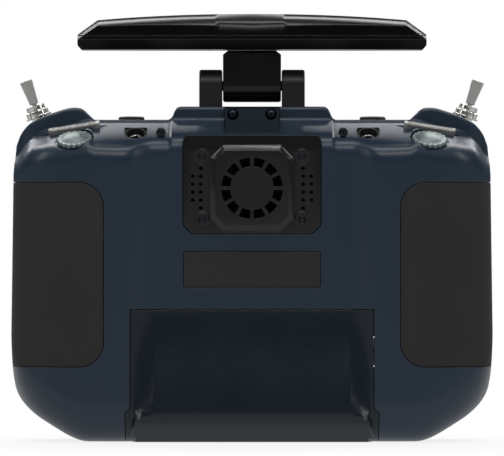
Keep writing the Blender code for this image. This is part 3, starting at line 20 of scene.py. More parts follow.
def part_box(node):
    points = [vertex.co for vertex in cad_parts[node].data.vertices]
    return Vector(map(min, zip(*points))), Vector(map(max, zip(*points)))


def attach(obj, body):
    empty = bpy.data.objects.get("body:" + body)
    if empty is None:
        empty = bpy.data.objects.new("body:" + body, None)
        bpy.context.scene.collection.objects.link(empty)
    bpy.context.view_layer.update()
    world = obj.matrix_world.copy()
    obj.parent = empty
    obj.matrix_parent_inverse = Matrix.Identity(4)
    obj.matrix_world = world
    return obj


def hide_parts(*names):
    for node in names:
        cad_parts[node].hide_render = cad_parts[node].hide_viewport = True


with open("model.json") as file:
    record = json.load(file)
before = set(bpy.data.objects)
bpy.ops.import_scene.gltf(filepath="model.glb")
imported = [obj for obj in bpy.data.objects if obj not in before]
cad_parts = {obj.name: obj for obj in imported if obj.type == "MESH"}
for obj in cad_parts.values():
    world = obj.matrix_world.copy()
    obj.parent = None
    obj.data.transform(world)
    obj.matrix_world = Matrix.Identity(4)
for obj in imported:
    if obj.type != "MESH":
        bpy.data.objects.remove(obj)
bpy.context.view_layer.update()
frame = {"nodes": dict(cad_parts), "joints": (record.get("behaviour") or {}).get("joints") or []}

LOG = logging.getLogger("transmitter")
MM = 0.001
SHARP = math.radians(32)
Pair = tuple[float, float]
Triple = tuple[float, float, float]
Solid = bpy.types.Object
Tree = bpy.types.NodeTree
Socket = bpy.types.NodeSocket
Material = bpy.types.Material


class Side(Enum):
    """The two sides of the case, as seen from behind."""

    LEFT = -1
    RIGHT = 1

    @property
    def label(self) -> str:
        """The side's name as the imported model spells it."""
        return self.name.lower()


class Axis(Enum):
    """The axis along which an outline is extruded."""

    X = "x"
    Y = "y"
    Z = "z"

    def point(self, first: float, second: float, height: float) -> Triple:
        """Places an outline's point."""
        if self is Axis.Y:
            return (first, height, second)
        if self is Axis.X:
            return (height, first, second)
        return (first, second, height)


class Relief(Enum):
    """Patterns pressed or cut into a finish."""

    NONE = "none"
    KNURL = "knurl"
    BRUSHED = "brushed"
    STIPPLE = "stipple"


# ---------------------------------------------------------------- shared shader groups


class EffectGroups:
    """Builds each shader node group once and hands it out by name."""

    def __init__(self) -> None:
        """Starts with no group built."""
        self._built: dict[str, Tree] = {}

    def get(self, name: str) -> Tree:
        """Finds or builds a group."""
        if name not in self._built:
            tree = bpy.data.node_groups.new(name, "ShaderNodeTree")
            getattr(self, "_draw_" + name)(tree)
            self._built[name] = tree
        return self._built[name]

    @staticmethod
    def _open(
        tree: Tree, inputs: dict[str, float | tuple], outputs: dict[str, str],
    ) -> tuple[bpy.types.Node, bpy.types.Node]:
        """Gives a group its sockets, with its coordinate first, and its two end nodes.

        Args:
            tree: The group.
            inputs: Each input's default: a number, or a colour of four numbers.
            outputs: Each output's kind: Float, Color or Vector.

        Returns:
            The group's input and output nodes.
        """
        for name, value in {"Vector": (0, 0, 0), **inputs}.items():
            kind = {3: "Vector", 4: "Color"}[len(value)] if isinstance(value, tuple) else "Float"
            socket = tree.interface.new_socket(name=name, in_out="INPUT", socket_type=f"NodeSocket{kind}")
            socket.default_value = value
        for name, kind in outputs.items():
            tree.interface.new_socket(name=name, in_out="OUTPUT", socket_type=f"NodeSocket{kind}")
        return tree.nodes.new("NodeGroupInput"), tree.nodes.new("NodeGroupOutput")

    @staticmethod
    def _math(tree: Tree, operation: str, *values: object) -> Socket:
        """Adds a Math node."""
        node = tree.nodes.new("ShaderNodeMath")
        node.operation = operation
        for socket, value in zip(node.inputs, values):
            if isinstance(value, (int, float)):
                socket.default_value = value
            else:
                tree.links.new(value, socket)
        return node.outputs[0]

    @staticmethod
    def _noise(tree: Tree, vector: object, scale: object, detail: float, rough: float = 0.5) -> Socket:
        """Adds a Noise texture and returns its value.

        Args:
            tree: The tree.
            vector: The coordinate socket.
            scale: A socket or a number.
            detail: The number of octaves.
            rough: How strong the finer octaves are.

        Returns:
            The noise's factor socket.
        """
        node = tree.nodes.new("ShaderNodeTexNoise")
        tree.links.new(vector, node.inputs["Vector"])
        if isinstance(scale, (int, float)):
            node.inputs["Scale"].default_value = scale
        else:
            tree.links.new(scale, node.inputs["Scale"])
        node.inputs["Detail"].default_value = detail
        node.inputs["Roughness"].default_value = rough
        return node.outputs["Fac"]

    def _draw_edge_wear(self, tree: Tree) -> None:
        """Rounded normals at hard edges, and a broken mask of where they are rubbed."""
        start, end = self._open(
            tree, {"Radius": 0.0004, "Amount": 0.5}, {"Mask": "Float", "Normal": "Vector"},
        )
        rounded = tree.nodes.new("ShaderNodeBevel")
        rounded.samples = 6
        tree.links.new(start.outputs["Radius"], rounded.inputs["Radius"])
        geometry = tree.nodes.new("ShaderNodeNewGeometry")
        dot = tree.nodes.new("ShaderNodeVectorMath")
        dot.operation = "DOT_PRODUCT"
        tree.links.new(rounded.outputs[0], dot.inputs[0])
        tree.links.new(geometry.outputs["Normal"], dot.inputs[1])
        bend = self._math(tree, "SUBTRACT", 1.0, dot.outputs["Value"])
        broken = self._noise(tree, start.outputs["Vector"], 260.0, 4.0, 0.65)
        rubbed = self._math(tree, "MULTIPLY", self._math(tree, "MULTIPLY", bend, 5.0), broken)
        amount = self._math(tree, "MULTIPLY", rubbed, start.outputs["Amount"])
        mask = self._math(tree, "MINIMUM", self._math(tree, "MAXIMUM", amount, 0.0), 1.0)
        tree.links.new(mask, end.inputs["Mask"])
        tree.links.new(rounded.outputs[0], end.inputs["Normal"])

    def _draw_tone(self, tree: Tree) -> None:
        """A colour that drifts a little lighter and darker over the surface."""
        start, end = self._open(
            tree, {"Colour": (0.1, 0.1, 0.1, 1), "Drift": 0.2, "Scale": 30.0}, {"Colour": "Color"},
        )
        wide = self._noise(tree, start.outputs["Vector"], start.outputs["Scale"], 3.0)
        speck = self._noise(tree, start.outputs["Vector"], 1400.0, 2.0)
        both = self._math(tree, "ADD", wide, self._math(tree, "MULTIPLY", speck, 0.4))
        centred = self._math(tree, "SUBTRACT", both, 0.7)
        factor = self._math(tree, "MULTIPLY_ADD", centred, start.outputs["Drift"], 1.0)
        scaled = tree.nodes.new("ShaderNodeVectorMath")
        scaled.operation = "SCALE"
        tree.links.new(start.outputs["Colour"], scaled.inputs[0])
        tree.links.new(factor, scaled.inputs["Scale"])
        tree.links.new(scaled.outputs[0], end.inputs["Colour"])

    def _draw_smudges(self, tree: Tree) -> None:
        """A roughness value with handling marks in it."""
        start, end = self._open(tree, {"Roughness": 0.4, "Spread": 0.1}, {"Value": "Float"})
        marks = self._noise(tree, start.outputs["Vector"], 45.0, 5.0, 0.6)
        fine = self._noise(tree, start.outputs["Vector"], 700.0, 3.0, 0.6)
        both = self._math(tree, "MULTIPLY_ADD", fine, 0.5, marks)
        centred = self._math(tree, "SUBTRACT", both, 0.75)
        spread = self._math(tree, "MULTIPLY", centred, start.outputs["Spread"])
        value = self._math(tree, "ADD", start.outputs["Roughness"], self._math(tree, "MULTIPLY", spread, 2.0))
        tree.links.new(self._math(tree, "MAXIMUM", value, 0.04), end.inputs["Value"])

    def _draw_dust(self, tree: Tree) -> None:
        """A mask of the light dust that settles on what faces up."""
        start, end = self._open(tree, {"Amount": 0.1}, {"Mask": "Float"})
        geometry = tree.nodes.new("ShaderNodeNewGeometry")
        split = tree.nodes.new("ShaderNodeSeparateXYZ")
        tree.links.new(geometry.outputs["Normal"], split.inputs[0])
        upward = self._math(tree, "MAXIMUM", split.outputs["Z"], 0.0)
        cloud = self._noise(tree, start.outputs["Vector"], 120.0, 6.0, 0.7)
        settled = self._math(
            tree, "MULTIPLY", upward, self._math(tree, "MULTIPLY", cloud, start.outputs["Amount"]),
        )
        tree.links.new(self._math(tree, "MINIMUM", settled, 1.0), end.inputs["Mask"])

    def _draw_grain(self, tree: Tree) -> None:
        """The fine sparkle that a spark-eroded mould leaves on plastic."""
        start, end = self._open(tree, {"Scale": 2500.0}, {"Height": "Float"})
        fine = self._noise(tree, start.outputs["Vector"], start.outputs["Scale"], 2.0, 0.6)
        tree.links.new(fine, end.inputs["Height"])

    def _draw_knurl(self, tree: Tree) -> None:
        """Crossed diagonal grooves."""
        self._cross(tree, 45.0, "MULTIPLY")

    def _draw_stipple(self, tree: Tree) -> None:
        """Small raised dots in rows, as moulded into rubber."""
        self._cross(tree, 30.0, "MINIMUM")

    def _cross(self, tree: Tree, angle: float, operation: str) -> None:
        """Two sets of waves laid across each other.

        Args:
            tree: The group.
            angle: The angle of each set to the local X axis, in degrees.
            operation: How the two heights are combined.
        """
        start, end = self._open(tree, {"Scale": 1000.0}, {"Height": "Float"})
        heights = []
        for sign in (1, -1):
            turn = tree.nodes.new("ShaderNodeMapping")
            turn.inputs["Rotation"].default_value = (
                0, sign * math.radians(angle), sign * math.radians(angle),
            )
            tree.links.new(start.outputs["Vector"], turn.inputs["Vector"])
            wave = tree.nodes.new("ShaderNodeTexWave")
            wave.bands_direction = "X"
            tree.links.new(turn.outputs[0], wave.inputs["Vector"])
            tree.links.new(start.outputs["Scale"], wave.inputs["Scale"])
            heights.append(wave.outputs["Fac"])
        tree.links.new(self._math(tree, operation, *heights), end.inputs["Height"])

    def _draw_brushed(self, tree: Tree) -> None:
        """Long fine scratches along the local X axis."""
        start, end = self._open(tree, {"Scale": 1.0}, {"Height": "Float"})
        stretch = tree.nodes.new("ShaderNodeMapping")
        stretch.inputs["Scale"].default_value = (120, 4000, 4000)
        tree.links.new(start.outputs["Vector"], stretch.inputs["Vector"])
        lines = self._noise(tree, stretch.outputs[0], start.outputs["Scale"], 3.0, 0.6)
        tree.links.new(lines, end.inputs["Height"])


# ---------------------------------------------------------------- finishes


@dataclass(frozen=True)
class Finish:
    """One finish: a Principled shader fed by the shared groups."""

    name: str
    slot: str
    colour: Triple
    roughness: float
    metallic: float = 0.0
    coat: float = 0.0
    coat_roughness: float = 0.12
    specular: float = 0.5
    drift: float = 0.25
    drift_scale: float = 30.0
    spread: float = 0.08
    edge_radius: float = 0.4 * MM
    wear: float = 0.25
    worn: Triple = (0.12, 0.13, 0.14)
    dust: float = 0.03
    grain: float = 0.006 * MM
    grain_scale: float = 2500.0
    relief: Relief = Relief.NONE
    relief_scale: float = 1000.0
    relief_height: float = 0.05 * MM

    def build(self, groups: EffectGroups) -> Material:
        """Makes the material.

        Args:
            groups: The shared shader groups.

        Returns:
            The finished material.
        """
        material = bpy.data.materials.new(self.name)
        material.use_nodes = True
        tree = material.node_tree
        shader = tree.nodes["Principled BSDF"]
        plain = {
            "Metallic": self.metallic, "Coat Weight": self.coat, "Coat Roughness": self.coat_roughness,
            "Specular IOR Level": self.specular,
        }
        for key, value in plain.items():
            shader.inputs[key].default_value = value
        where = tree.nodes.new("ShaderNodeTexCoord").outputs["Object"]
        edge = self._group(tree, groups, "edge_wear", where, Radius=self.edge_radius, Amount=self.wear)
        tone = self._group(
            tree, groups, "tone", where, Colour=(*self.colour, 1), Drift=self.drift, Scale=self.drift_scale
        )
        smudges = self._group(tree, groups, "smudges", where, Roughness=self.roughness, Spread=self.spread)
        dust = self._group(tree, groups, "dust", where, Amount=self.dust)
        rubbed = self._mix(tree, edge.outputs["Mask"], tone.outputs["Colour"], self.worn)
        dusty = self._mix(tree, dust.outputs["Mask"], rubbed, (0.30, 0.29, 0.27))
        tree.links.new(dusty, shader.inputs["Base Color"])
        tree.links.new(smudges.outputs["Value"], shader.inputs["Roughness"])
        normal = edge.outputs["Normal"]
        if self.relief is not Relief.NONE:
            pressed = self._group(tree, groups, self.relief.value, where, Scale=self.relief_scale)
            normal = self._bump(tree, pressed.outputs["Height"], self.relief_height, normal)
        grain = self._group(tree, groups, "grain", where, Scale=self.grain_scale)
        normal = self._bump(tree, grain.outputs["Height"], self.grain, normal)
        tree.links.new(normal, shader.inputs["Normal"])
        return material

    @staticmethod
    def _group(
        tree: Tree, groups: EffectGroups, name: str, where: Socket,
        **values: object
    ) -> bpy.types.Node:
        """Places a shared group in the material."""
        node = tree.nodes.new("ShaderNodeGroup")
        node.node_tree = groups.get(name)
        tree.links.new(where, node.inputs["Vector"])
        for key, value in values.items():
            node.inputs[key].default_value = value
        return node

    @staticmethod
    def _mix(tree: Tree, mask: Socket, under: Socket, over: Triple) -> Socket:
        """Mixes a colour over another by a mask and returns the mixed colour."""
        node = tree.nodes.new("ShaderNodeMix")
        node.data_type = "RGBA"
        tree.links.new(mask, node.inputs[0])
        tree.links.new(under, node.inputs[6])
        node.inputs[7].default_value = (*over, 1)
        return node.outputs[2]

    @staticmethod
    def _bump(tree: Tree, height: Socket, distance: float, normal: Socket) -> Socket:
        """Adds a bump on top of a normal and returns the new normal."""
        node = tree.nodes.new("ShaderNodeBump")
        node.inputs["Distance"].default_value = distance
        tree.links.new(height, node.inputs["Height"])
        tree.links.new(normal, node.inputs["Normal"])
        return node.outputs["Normal"]


@dataclass(frozen=True)
class Palette:
    """Every finish on the transmitter."""

    shell: Finish = Finish(
        "navy_moulding", "navy_shell", (0.0150, 0.0320, 0.0545), 0.34, coat=0.12, coat_roughness=0.2,
        specular=0.4, dust=0.015,
        wear=0.20, worn=(0.05, 0.07, 0.09), drift=0.35, drift_scale=18.0, edge_radius=0.5 * MM,
    )
    # The boss is the shell's own navy moulding. Its darker colour is painted shade for the light that its
    # slope does not reflect.
    boss: Finish = Finish(
        "navy_boss_moulding", "navy_shell", (0.0038, 0.0110, 0.0185), 0.42, specular=0.08, wear=0.10,
        worn=(0.05, 0.07, 0.09), dust=0.005, drift=0.35, drift_scale=18.0, edge_radius=0.5 * MM,
    )
    boss_screw: Finish = Finish(
        "navy_screw", "dark_metal", (0.012, 0.020, 0.030), 0.38, metallic=0.4, wear=0.5,
        worn=(0.10, 0.12, 0.15), edge_radius=0.15 * MM, grain=0.002 * MM,
    )
    # The door is the shell's navy plastic. Its darker colour is painted shade for the light that its flanks
    # reflect less.
    door: Finish = Finish(
        "navy_door_moulding", "navy_shell", (0.0085, 0.0160, 0.0245), 0.28, coat=0.0, specular=0.4,
        wear=0.20, worn=(0.05, 0.07, 0.09), drift=0.35, drift_scale=18.0, edge_radius=0.5 * MM,
    )
    rubber: Finish = Finish(
        "grip_rubber_skin", "grip_rubber", (0.0255, 0.0255, 0.0260), 0.72, specular=0.35, grain=0.02 * MM,
        grain_scale=1800.0, wear=0.10, worn=(0.03, 0.03, 0.03), dust=0.08, edge_radius=0.7 * MM,
    )
    cover: Finish = Finish(
        "cover_moulding", "black_plastic", (0.0095, 0.0095, 0.0100), 0.22, wear=0.25, spread=0.04, dust=0.01,
        edge_radius=0.35 * MM,
    )
    label: Finish = Finish(
        "label_recess_skin", "black_plastic", (0.0265, 0.0270, 0.0285), 0.68, specular=0.3, grain=0.012 * MM,
        wear=0.1
    )
    antenna: Finish = Finish(
        "antenna_moulding", "black_plastic", (0.0008, 0.0008, 0.0010), 0.25, coat=0.1, coat_roughness=0.2,
        specular=0.3, wear=0.05, dust=0.005, spread=0.03, edge_radius=0.4 * MM, grain=0.002 * MM,
    )
    bracket: Finish = Finish(
        "bracket_moulding", "black_plastic", (0.0045, 0.0045, 0.0050), 0.42, wear=0.3, edge_radius=0.4 * MM
    )
    key: Finish = Finish(
        "key_moulding", "black_plastic", (0.0110, 0.0110, 0.0115), 0.48, edge_radius=0.3 * MM,
    )
    fan: Finish = Finish(
        "fan_moulding", "black_plastic", (0.0060, 0.0060, 0.0065), 0.40, edge_radius=0.2 * MM,
    )
    chrome: Finish = Finish(
        "plated_nut", "bright_metal", (0.74, 0.73, 0.70), 0.24, metallic=1.0, drift=0.12, wear=0.3,
        worn=(0.75, 0.74, 0.70), edge_radius=0.2 * MM, grain=0.002 * MM,
    )
    dial: Finish = Finish(
        "turned_dial", "bright_metal", (0.20, 0.235, 0.235), 0.46, metallic=0.6, drift=0.15, wear=0.6,
        worn=(0.80, 0.80, 0.78), edge_radius=0.3 * MM, relief=Relief.BRUSHED, relief_height=0.004 * MM,
    )
    lever: Finish = Finish(
        "blasted_lever", "satin_metal", (0.52, 0.515, 0.50), 0.46, metallic=0.55, drift=0.12, wear=0.5,
        worn=(0.60, 0.60, 0.58), edge_radius=0.25 * MM, grain=0.02 * MM, grain_scale=5000.0,
    )
    slider: Finish = Finish(
        "knurled_slider", "satin_metal", (0.34, 0.335, 0.32), 0.42, metallic=0.6, drift=0.2, wear=0.8,
        worn=(0.60, 0.59, 0.57), edge_radius=0.2 * MM, relief=Relief.KNURL, relief_scale=420.0,
        relief_height=0.12 * MM,
    )
    stick: Finish = Finish(
        "turned_stick", "satin_metal", (0.42, 0.42, 0.43), 0.28, metallic=1.0, wear=0.5, worn=(0.7, 0.7, 0.7),
        edge_radius=0.25 * MM,
    )
    screw: Finish = Finish(
        "blackened_screw", "dark_metal", (0.022, 0.025, 0.032), 0.34, metallic=0.9, wear=0.7,
        worn=(0.25, 0.26, 0.28), edge_radius=0.15 * MM, grain=0.002 * MM,
    )
    gimbal: Finish = Finish(
        "gimbal_casting", "dark_metal", (0.035, 0.035, 0.038), 0.45, metallic=0.7, wear=0.5,
        worn=(0.2, 0.2, 0.2)
    )
    dome: Finish = Finish("dome_moulding", "satin_metal", (0.012, 0.012, 0.013), 0.40, wear=0.2)
    board: Finish = Finish(
        "circuit_lacquer", "circuit_board", (0.006, 0.045, 0.022), 0.40, drift=0.8, drift_scale=220.0,
        spread=0.12
    )
    glass: Finish = Finish(
        "display_glass", "screen_glass", (0.012, 0.013, 0.016), 0.06, coat=0.5, coat_roughness=0.04,
        spread=0.02,
        drift=0.1, grain=0.0, dust=0.02, wear=0.1, edge_radius=0.25 * MM,
    )
    screen: Finish = Finish("display_panel", "dark_metal", (0.02, 0.025, 0.035), 0.3, drift=0.3)
    wrap: Finish = Finish(
        "cell_wrap_film", "cell_wrap", (0.03, 0.11, 0.24), 0.28, coat=0.4, drift=0.15, edge_radius=0.3 * MM
    )


class Finisher:
    """Makes each material the first time that it is asked for."""

    def __init__(self) -> None:
        """Starts with the shared groups and no material."""
        self.groups = EffectGroups()
        self.palette = Palette()
        self._made: dict[str, Material] = {}

    def material(self, finish: Finish) -> Material:
        """The material of a finish."""
        if finish.name not in self._made:
            self._made[finish.name] = finish.build(self.groups)
        return self._made[finish.name]


# ---------------------------------------------------------------- mesh making


class SmoothLine:
    """A curve through points that never overshoots them."""

    def __init__(self, points: Sequence[Pair]) -> None:
        """Fits the curve.

        Args:
            points: (x, y) with rising x.
        """
        self.x = np.array([p[0] for p in points], float)
        self.y = np.array([p[1] for p in points], float)
        step = np.diff(self.x)
        slope = np.diff(self.y) / step
        self.m = np.zeros(len(self.x))
        self.m[0], self.m[-1] = slope[0], slope[-1]
        for i in range(1, len(self.x) - 1):
            if slope[i - 1] * slope[i] > 0:
                first = 2 * step[i] + step[i - 1]
                second = step[i] + 2 * step[i - 1]
                self.m[i] = (first + second) / (first / slope[i - 1] + second / slope[i])

    def __call__(self, at: float) -> float:
        """The height of the curve."""
        at = min(max(at, self.x[0]), self.x[-1])
        i = min(int(np.searchsorted(self.x, at, side="right")) - 1, len(self.x) - 2)
        width = self.x[i + 1] - self.x[i]
        t = (at - self.x[i]) / width
        h00, h10 = (1 + 2 * t) * (1 - t) ** 2, t * (1 - t) ** 2
        h01, h11 = t * t * (3 - 2 * t), t * t * (t - 1)
        return float(
            h00 * self.y[i] + h10 * width * self.m[i] + h01 * self.y[i + 1] + h11 * width * self.m[i + 1]
        )

    def straight(self, at: float) -> float:
        """The height of the straight lines between the points."""
        return float(np.interp(at, self.x, self.y))


def put(obj: Solid) -> Solid:
    """Adds an object to the scene and returns it."""
    bpy.context.scene.collection.objects.link(obj)
    return obj


class Workshop:
    """Turns outlines, profiles and rings into mesh objects."""

    @staticmethod
    def settle(bm: bmesh.types.BMesh, name: str, rounding: float = 0.0, segments: int = 2) -> Solid:
        """Closes a bmesh into an object, with its hard edges rounded.

        Args:
            bm: The mesh, which is freed.
            name: The object's name.
            rounding: The width of the bevel on edges sharper than SHARP.
            segments: The bevel's segments.

        Returns:
            The new object.
        """
        bmesh.ops.remove_doubles(bm, verts=bm.verts, dist=1e-6)
        bmesh.ops.recalc_face_normals(bm, faces=bm.faces)
        if rounding:
            edges = [e for e in bm.edges if len(e.link_faces) == 2 and e.calc_face_angle(0) > SHARP]
            bmesh.ops.bevel(
                bm, geom=edges, offset=rounding, segments=segments, profile=0.6, affect="EDGES",
                clamp_overlap=True
            )
        mesh = bpy.data.meshes.new(name)
        bm.to_mesh(mesh)
        bm.free()
        mesh.shade_smooth()
        mesh.set_sharp_from_angle(angle=SHARP)
        return put(bpy.data.objects.new(name, mesh))

    @classmethod
    def loft(
        cls,
        name: str,
        rings: Sequence[Sequence[Triple]],
        ends: Sequence[Sequence[int]] | None = None,
        rounding: float = 0.0,
    ) -> Solid:
        """A closed solid through rings of equally many points.

        Args:
            name: The object's name.
            rings: The rings in order.
            ends: The faces that close each end, as ring indices. One face where this is None.
            rounding: The bevel on hard edges.

        Returns:
            The new object.
        """
        bm = bmesh.new()
        rows = [[bm.verts.new(point) for point in ring] for ring in rings]
        count = len(rings[0])
        for first, second in zip(rows, rows[1:]):
            for i in range(count):
                j = (i + 1) % count
                bm.faces.new((first[i], first[j], second[j], second[i]))
        for corners in ends or [range(count)]:
            for row in (rows[0], rows[-1]):
                bm.faces.new([row[i] for i in corners])
        return cls.settle(bm, name, rounding)

    @classmethod
    def slab(
        cls, name: str, outline: Sequence[Pair], low: float, high: float, axis: Axis = Axis.Y,
        rounding: float = 0.0
    ) -> Solid:
        """An outline extruded along an axis."""
        return cls.stack(name, [(low, outline), (high, outline)], axis, rounding)

    @classmethod
    def stack(
        cls, name: str, layers: Sequence[tuple[float, Sequence[Pair]]], axis: Axis, rounding: float = 0.0
    ) -> Solid:
        """A solid through outlines at several heights along an axis."""
        rings = [[axis.point(a, b, height) for a, b in outline] for height, outline in layers]
        return cls.loft(name, rings, rounding=rounding)

    @classmethod
    def lathe(
        cls,
        name: str,
        profile: Sequence[Pair],
        steps: int = 48,
        wave: Callable[[float, float], float] | None = None,
        rounding: float = 0.0,
    ) -> Solid:
        """A solid of revolution about local Z.

        Args:
            name: The object's name.
            profile: (radius, height) points, with both ends on the axis or the whole profile off it.
            steps: The number of segments round the axis.
            wave: Gives a radius from (radius, angle), for serrated rims.
            rounding: The bevel on hard edges.

        Returns:
            The new object.
        """
        bm = bmesh.new()
        rows = []
        for radius, height in profile:
            if radius < 1e-7:
                rows.append([bm.verts.new((0, 0, height))])
                continue
            row = []
            for step in range(steps):
                angle = 2 * math.pi * step / steps
                r = wave(radius, angle) if wave else radius
                row.append(bm.verts.new((r * math.cos(angle), r * math.sin(angle), height)))
            rows.append(row)
        pairs = list(zip(rows, rows[1:]))
        if len(rows[0]) > 1:
            pairs.append((rows[-1], rows[0]))
        for first, second in pairs:
            for i in range(steps):
                j = (i + 1) % steps
                corners = [
                    first[i % len(first)], first[j % len(first)], second[j % len(second)],
                    second[i % len(second)],
                ]
                unique = list(dict.fromkeys(corners))
                if len(unique) > 2:
                    bm.faces.new(unique)
        return cls.settle(bm, name, rounding)

    @classmethod
    def rod(cls, name: str, radius: float, start: Triple, end: Triple, steps: int = 48) -> Solid:
        """A plain cylinder between two points, for cutting and joining."""
        along = Vector(end) - Vector(start)
        obj = cls.lathe(name, [(0, 0), (radius, 0), (radius, along.length), (0, along.length)], steps)
        return cls.place(obj, start, along.to_track_quat("Z", "Y"))

    @staticmethod
    def place(obj: Solid, origin: Sequence[float], turn: Quaternion | None = None) -> Solid:
        """Moves an object to its place and returns it."""
        obj.location = origin
        if turn is not None:
            obj.rotation_mode = "QUATERNION"
            obj.rotation_quaternion = turn
        bpy.context.view_layer.update()
        return obj

    @staticmethod
    def carve(target: Solid, others: Sequence[Solid], operation: str = "DIFFERENCE") -> Solid:
        """Cuts, joins or intersects a solid with others, which are used up.

        Args:
            target: The solid to change.
            others: The solids it is combined with.
            operation: DIFFERENCE, UNION or INTERSECT.

        Returns:
            The changed target.
        """
        group = bpy.data.collections.new("operands")
        bpy.context.scene.collection.children.link(group)
        for other in others:
            group.objects.link(other)
        modifier = target.modifiers.new("carve", "BOOLEAN")
        modifier.operation = operation
        modifier.solver = "EXACT"
        modifier.operand_type = "COLLECTION"
        modifier.collection = group
        bpy.context.view_layer.update()
        graph = bpy.context.evaluated_depsgraph_get()
        mesh = bpy.data.meshes.new_from_object(target.evaluated_get(graph))
        target.modifiers.clear()
        target.data = mesh
        for other in others:
            bpy.data.objects.remove(other, do_unlink=True)
        bpy.data.collections.remove(group)
        mesh.shade_smooth()
        mesh.set_sharp_from_angle(angle=SHARP)
        return target


def rounded_box(
    width: float, height: float, corner: float, steps: int = 6, centre: Pair = (0, 0),
) -> list[Pair]:
    """A rectangle with round corners, counter-clockwise."""
    x, y = width / 2 - corner, height / 2 - corner
    outline = []
    for (cx, cy), start in (((x, y), 0), ((-x, y), 90), ((-x, -y), 180), ((x, -y), 270)):
        for k in range(steps + 1):
            angle = math.radians(start + 90 * k / steps)
            outline.append(
                (centre[0] + cx + corner * math.cos(angle), centre[1] + cy + corner * math.sin(angle))
            )
    return outline


def chamfered_box(
    width: float, height: float, top: float, bottom: float, centre: Pair = (0, 0),
) -> list[Pair]:
    """A rectangle with cut corners, counter-clockwise from the lower right."""
    x, y = width / 2, height / 2
    points = [
        (x - bottom, -y), (x, -y + bottom), (x, y - top), (x - top, y),
        (-x + top, y), (-x, y - top), (-x, -y + bottom), (-x + bottom, -y),
    ]
    return [(centre[0] + a, centre[1] + b) for a, b in points]


def disc(radius: float, steps: int, centre: Pair = (0, 0)) -> list[Pair]:
    """A circle as an outline."""
    angles = [2 * math.pi * (k + 0.5) / steps for k in range(steps)]
    return [(centre[0] + radius * math.cos(a), centre[1] + radius * math.sin(a)) for a in angles]


def in_metres(points: Sequence[Pair]) -> list[Pair]:
    """Points given in millimetres, in metres."""
    return [(a * MM, b * MM) for a, b in points]


def spread_out(stretches: Sequence[tuple[float, float, int]]) -> list[float]:
    """Distances on both sides of the middle, evenly spaced in each stretch."""
    right = [0.0]
    for low, high, count in stretches:
        right += [(low + (high - low) * (k + 1) / count) * MM for k in range(count)]
    return [-x for x in reversed(right[1:])] + right


def ease(share: float) -> float:
    """A smooth step from 0 to 1."""
    share = min(max(share, 0.0), 1.0)
    return share * share * (3 - 2 * share)


def softened(corners: Sequence[tuple[float, float, float]], steps: int) -> list[Pair]:
    """Rounds the inner corners of an open line.

    Args:
        corners: (first, second, reach), where reach is how far the rounding runs along each leg.
        steps: Segments in each rounding.

    Returns:
        The line, with steps + 1 points in place of each inner corner.
    """
    line: list[Pair] = [corners[0][:2]]
    for before, here, after in zip(corners, corners[1:], corners[2:]):
        p, a, b = (np.array(c[:2]) for c in (here, before, after))
        to_a, to_b = np.linalg.norm(a - p), np.linalg.norm(b - p)
        reach = min(here[2], 0.47 * to_a, 0.47 * to_b)
        start, end = p + (a - p) / to_a * reach, p + (b - p) / to_b * reach
        for k in range(steps + 1):
            t = k / steps
            point = (1 - t) ** 2 * start + 2 * t * (1 - t) * p + t * t * end
            line.append((float(point[0]), float(point[1])))
    line.append(corners[-1][:2])
    return line


def across(direction: Sequence[float]) -> Quaternion:
    """The turn that takes local Z to a direction."""
    return Vector(direction).to_track_quat("Z", "Y")


TO_FRONT = across((0, 1, 0))
TO_REAR = across((0, -1, 0))


def joint(name: str) -> dict:
    """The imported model's joint of that name."""
    return next(j for j in frame["joints"] if j["name"] == name)


# ---------------------------------------------------------------- assemblies


@dataclass
class Assembly:
    """A group of pieces that is built and dressed together."""

    finisher: Finisher
    pieces: list[Solid] = field(default_factory=list)

    @property
    def looks(self) -> Palette:
        """The palette of finishes."""
        return self.finisher.palette

    def keep(self, obj: Solid, finish: Finish, body: str, *nodes: str) -> Solid:
        """Dresses a piece, fixes it to its body and lets it stand for CAD nodes.

        Args:
            obj: The piece.
            finish: Its finish.
            body: The body it moves with.
            nodes: The CAD nodes that it replaces.

        Returns:
            The piece.
        """
        obj.data.materials.clear()
        obj.data.materials.append(self.finisher.material(finish))
        tidy = obj.modifiers.new("even_normals", "WEIGHTED_NORMAL")
        tidy.keep_sharp = True
        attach(obj, body)
        if nodes:
            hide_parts(*nodes)
        self.pieces.append(obj)
        return obj

    def dress(self, finish: Finish, *nodes: str) -> None:
        """Gives CAD nodes whose shape stays a finish."""
        for name in nodes:
            node = frame["nodes"][name]
            for index in range(max(1, len(node.material_slots))):
                node.material_slots[index].material = self.finisher.material(finish)

    def build(self) -> None:
        """Builds the assembly's pieces."""
        raise NotImplementedError

    def report(self) -> None:
        """Logs each piece."""
        for obj in self.pieces:
            LOG.info("%s: %s, %d faces", type(self).__name__, obj.name, len(obj.data.polygons))


# ---------------------------------------------------------------- the case


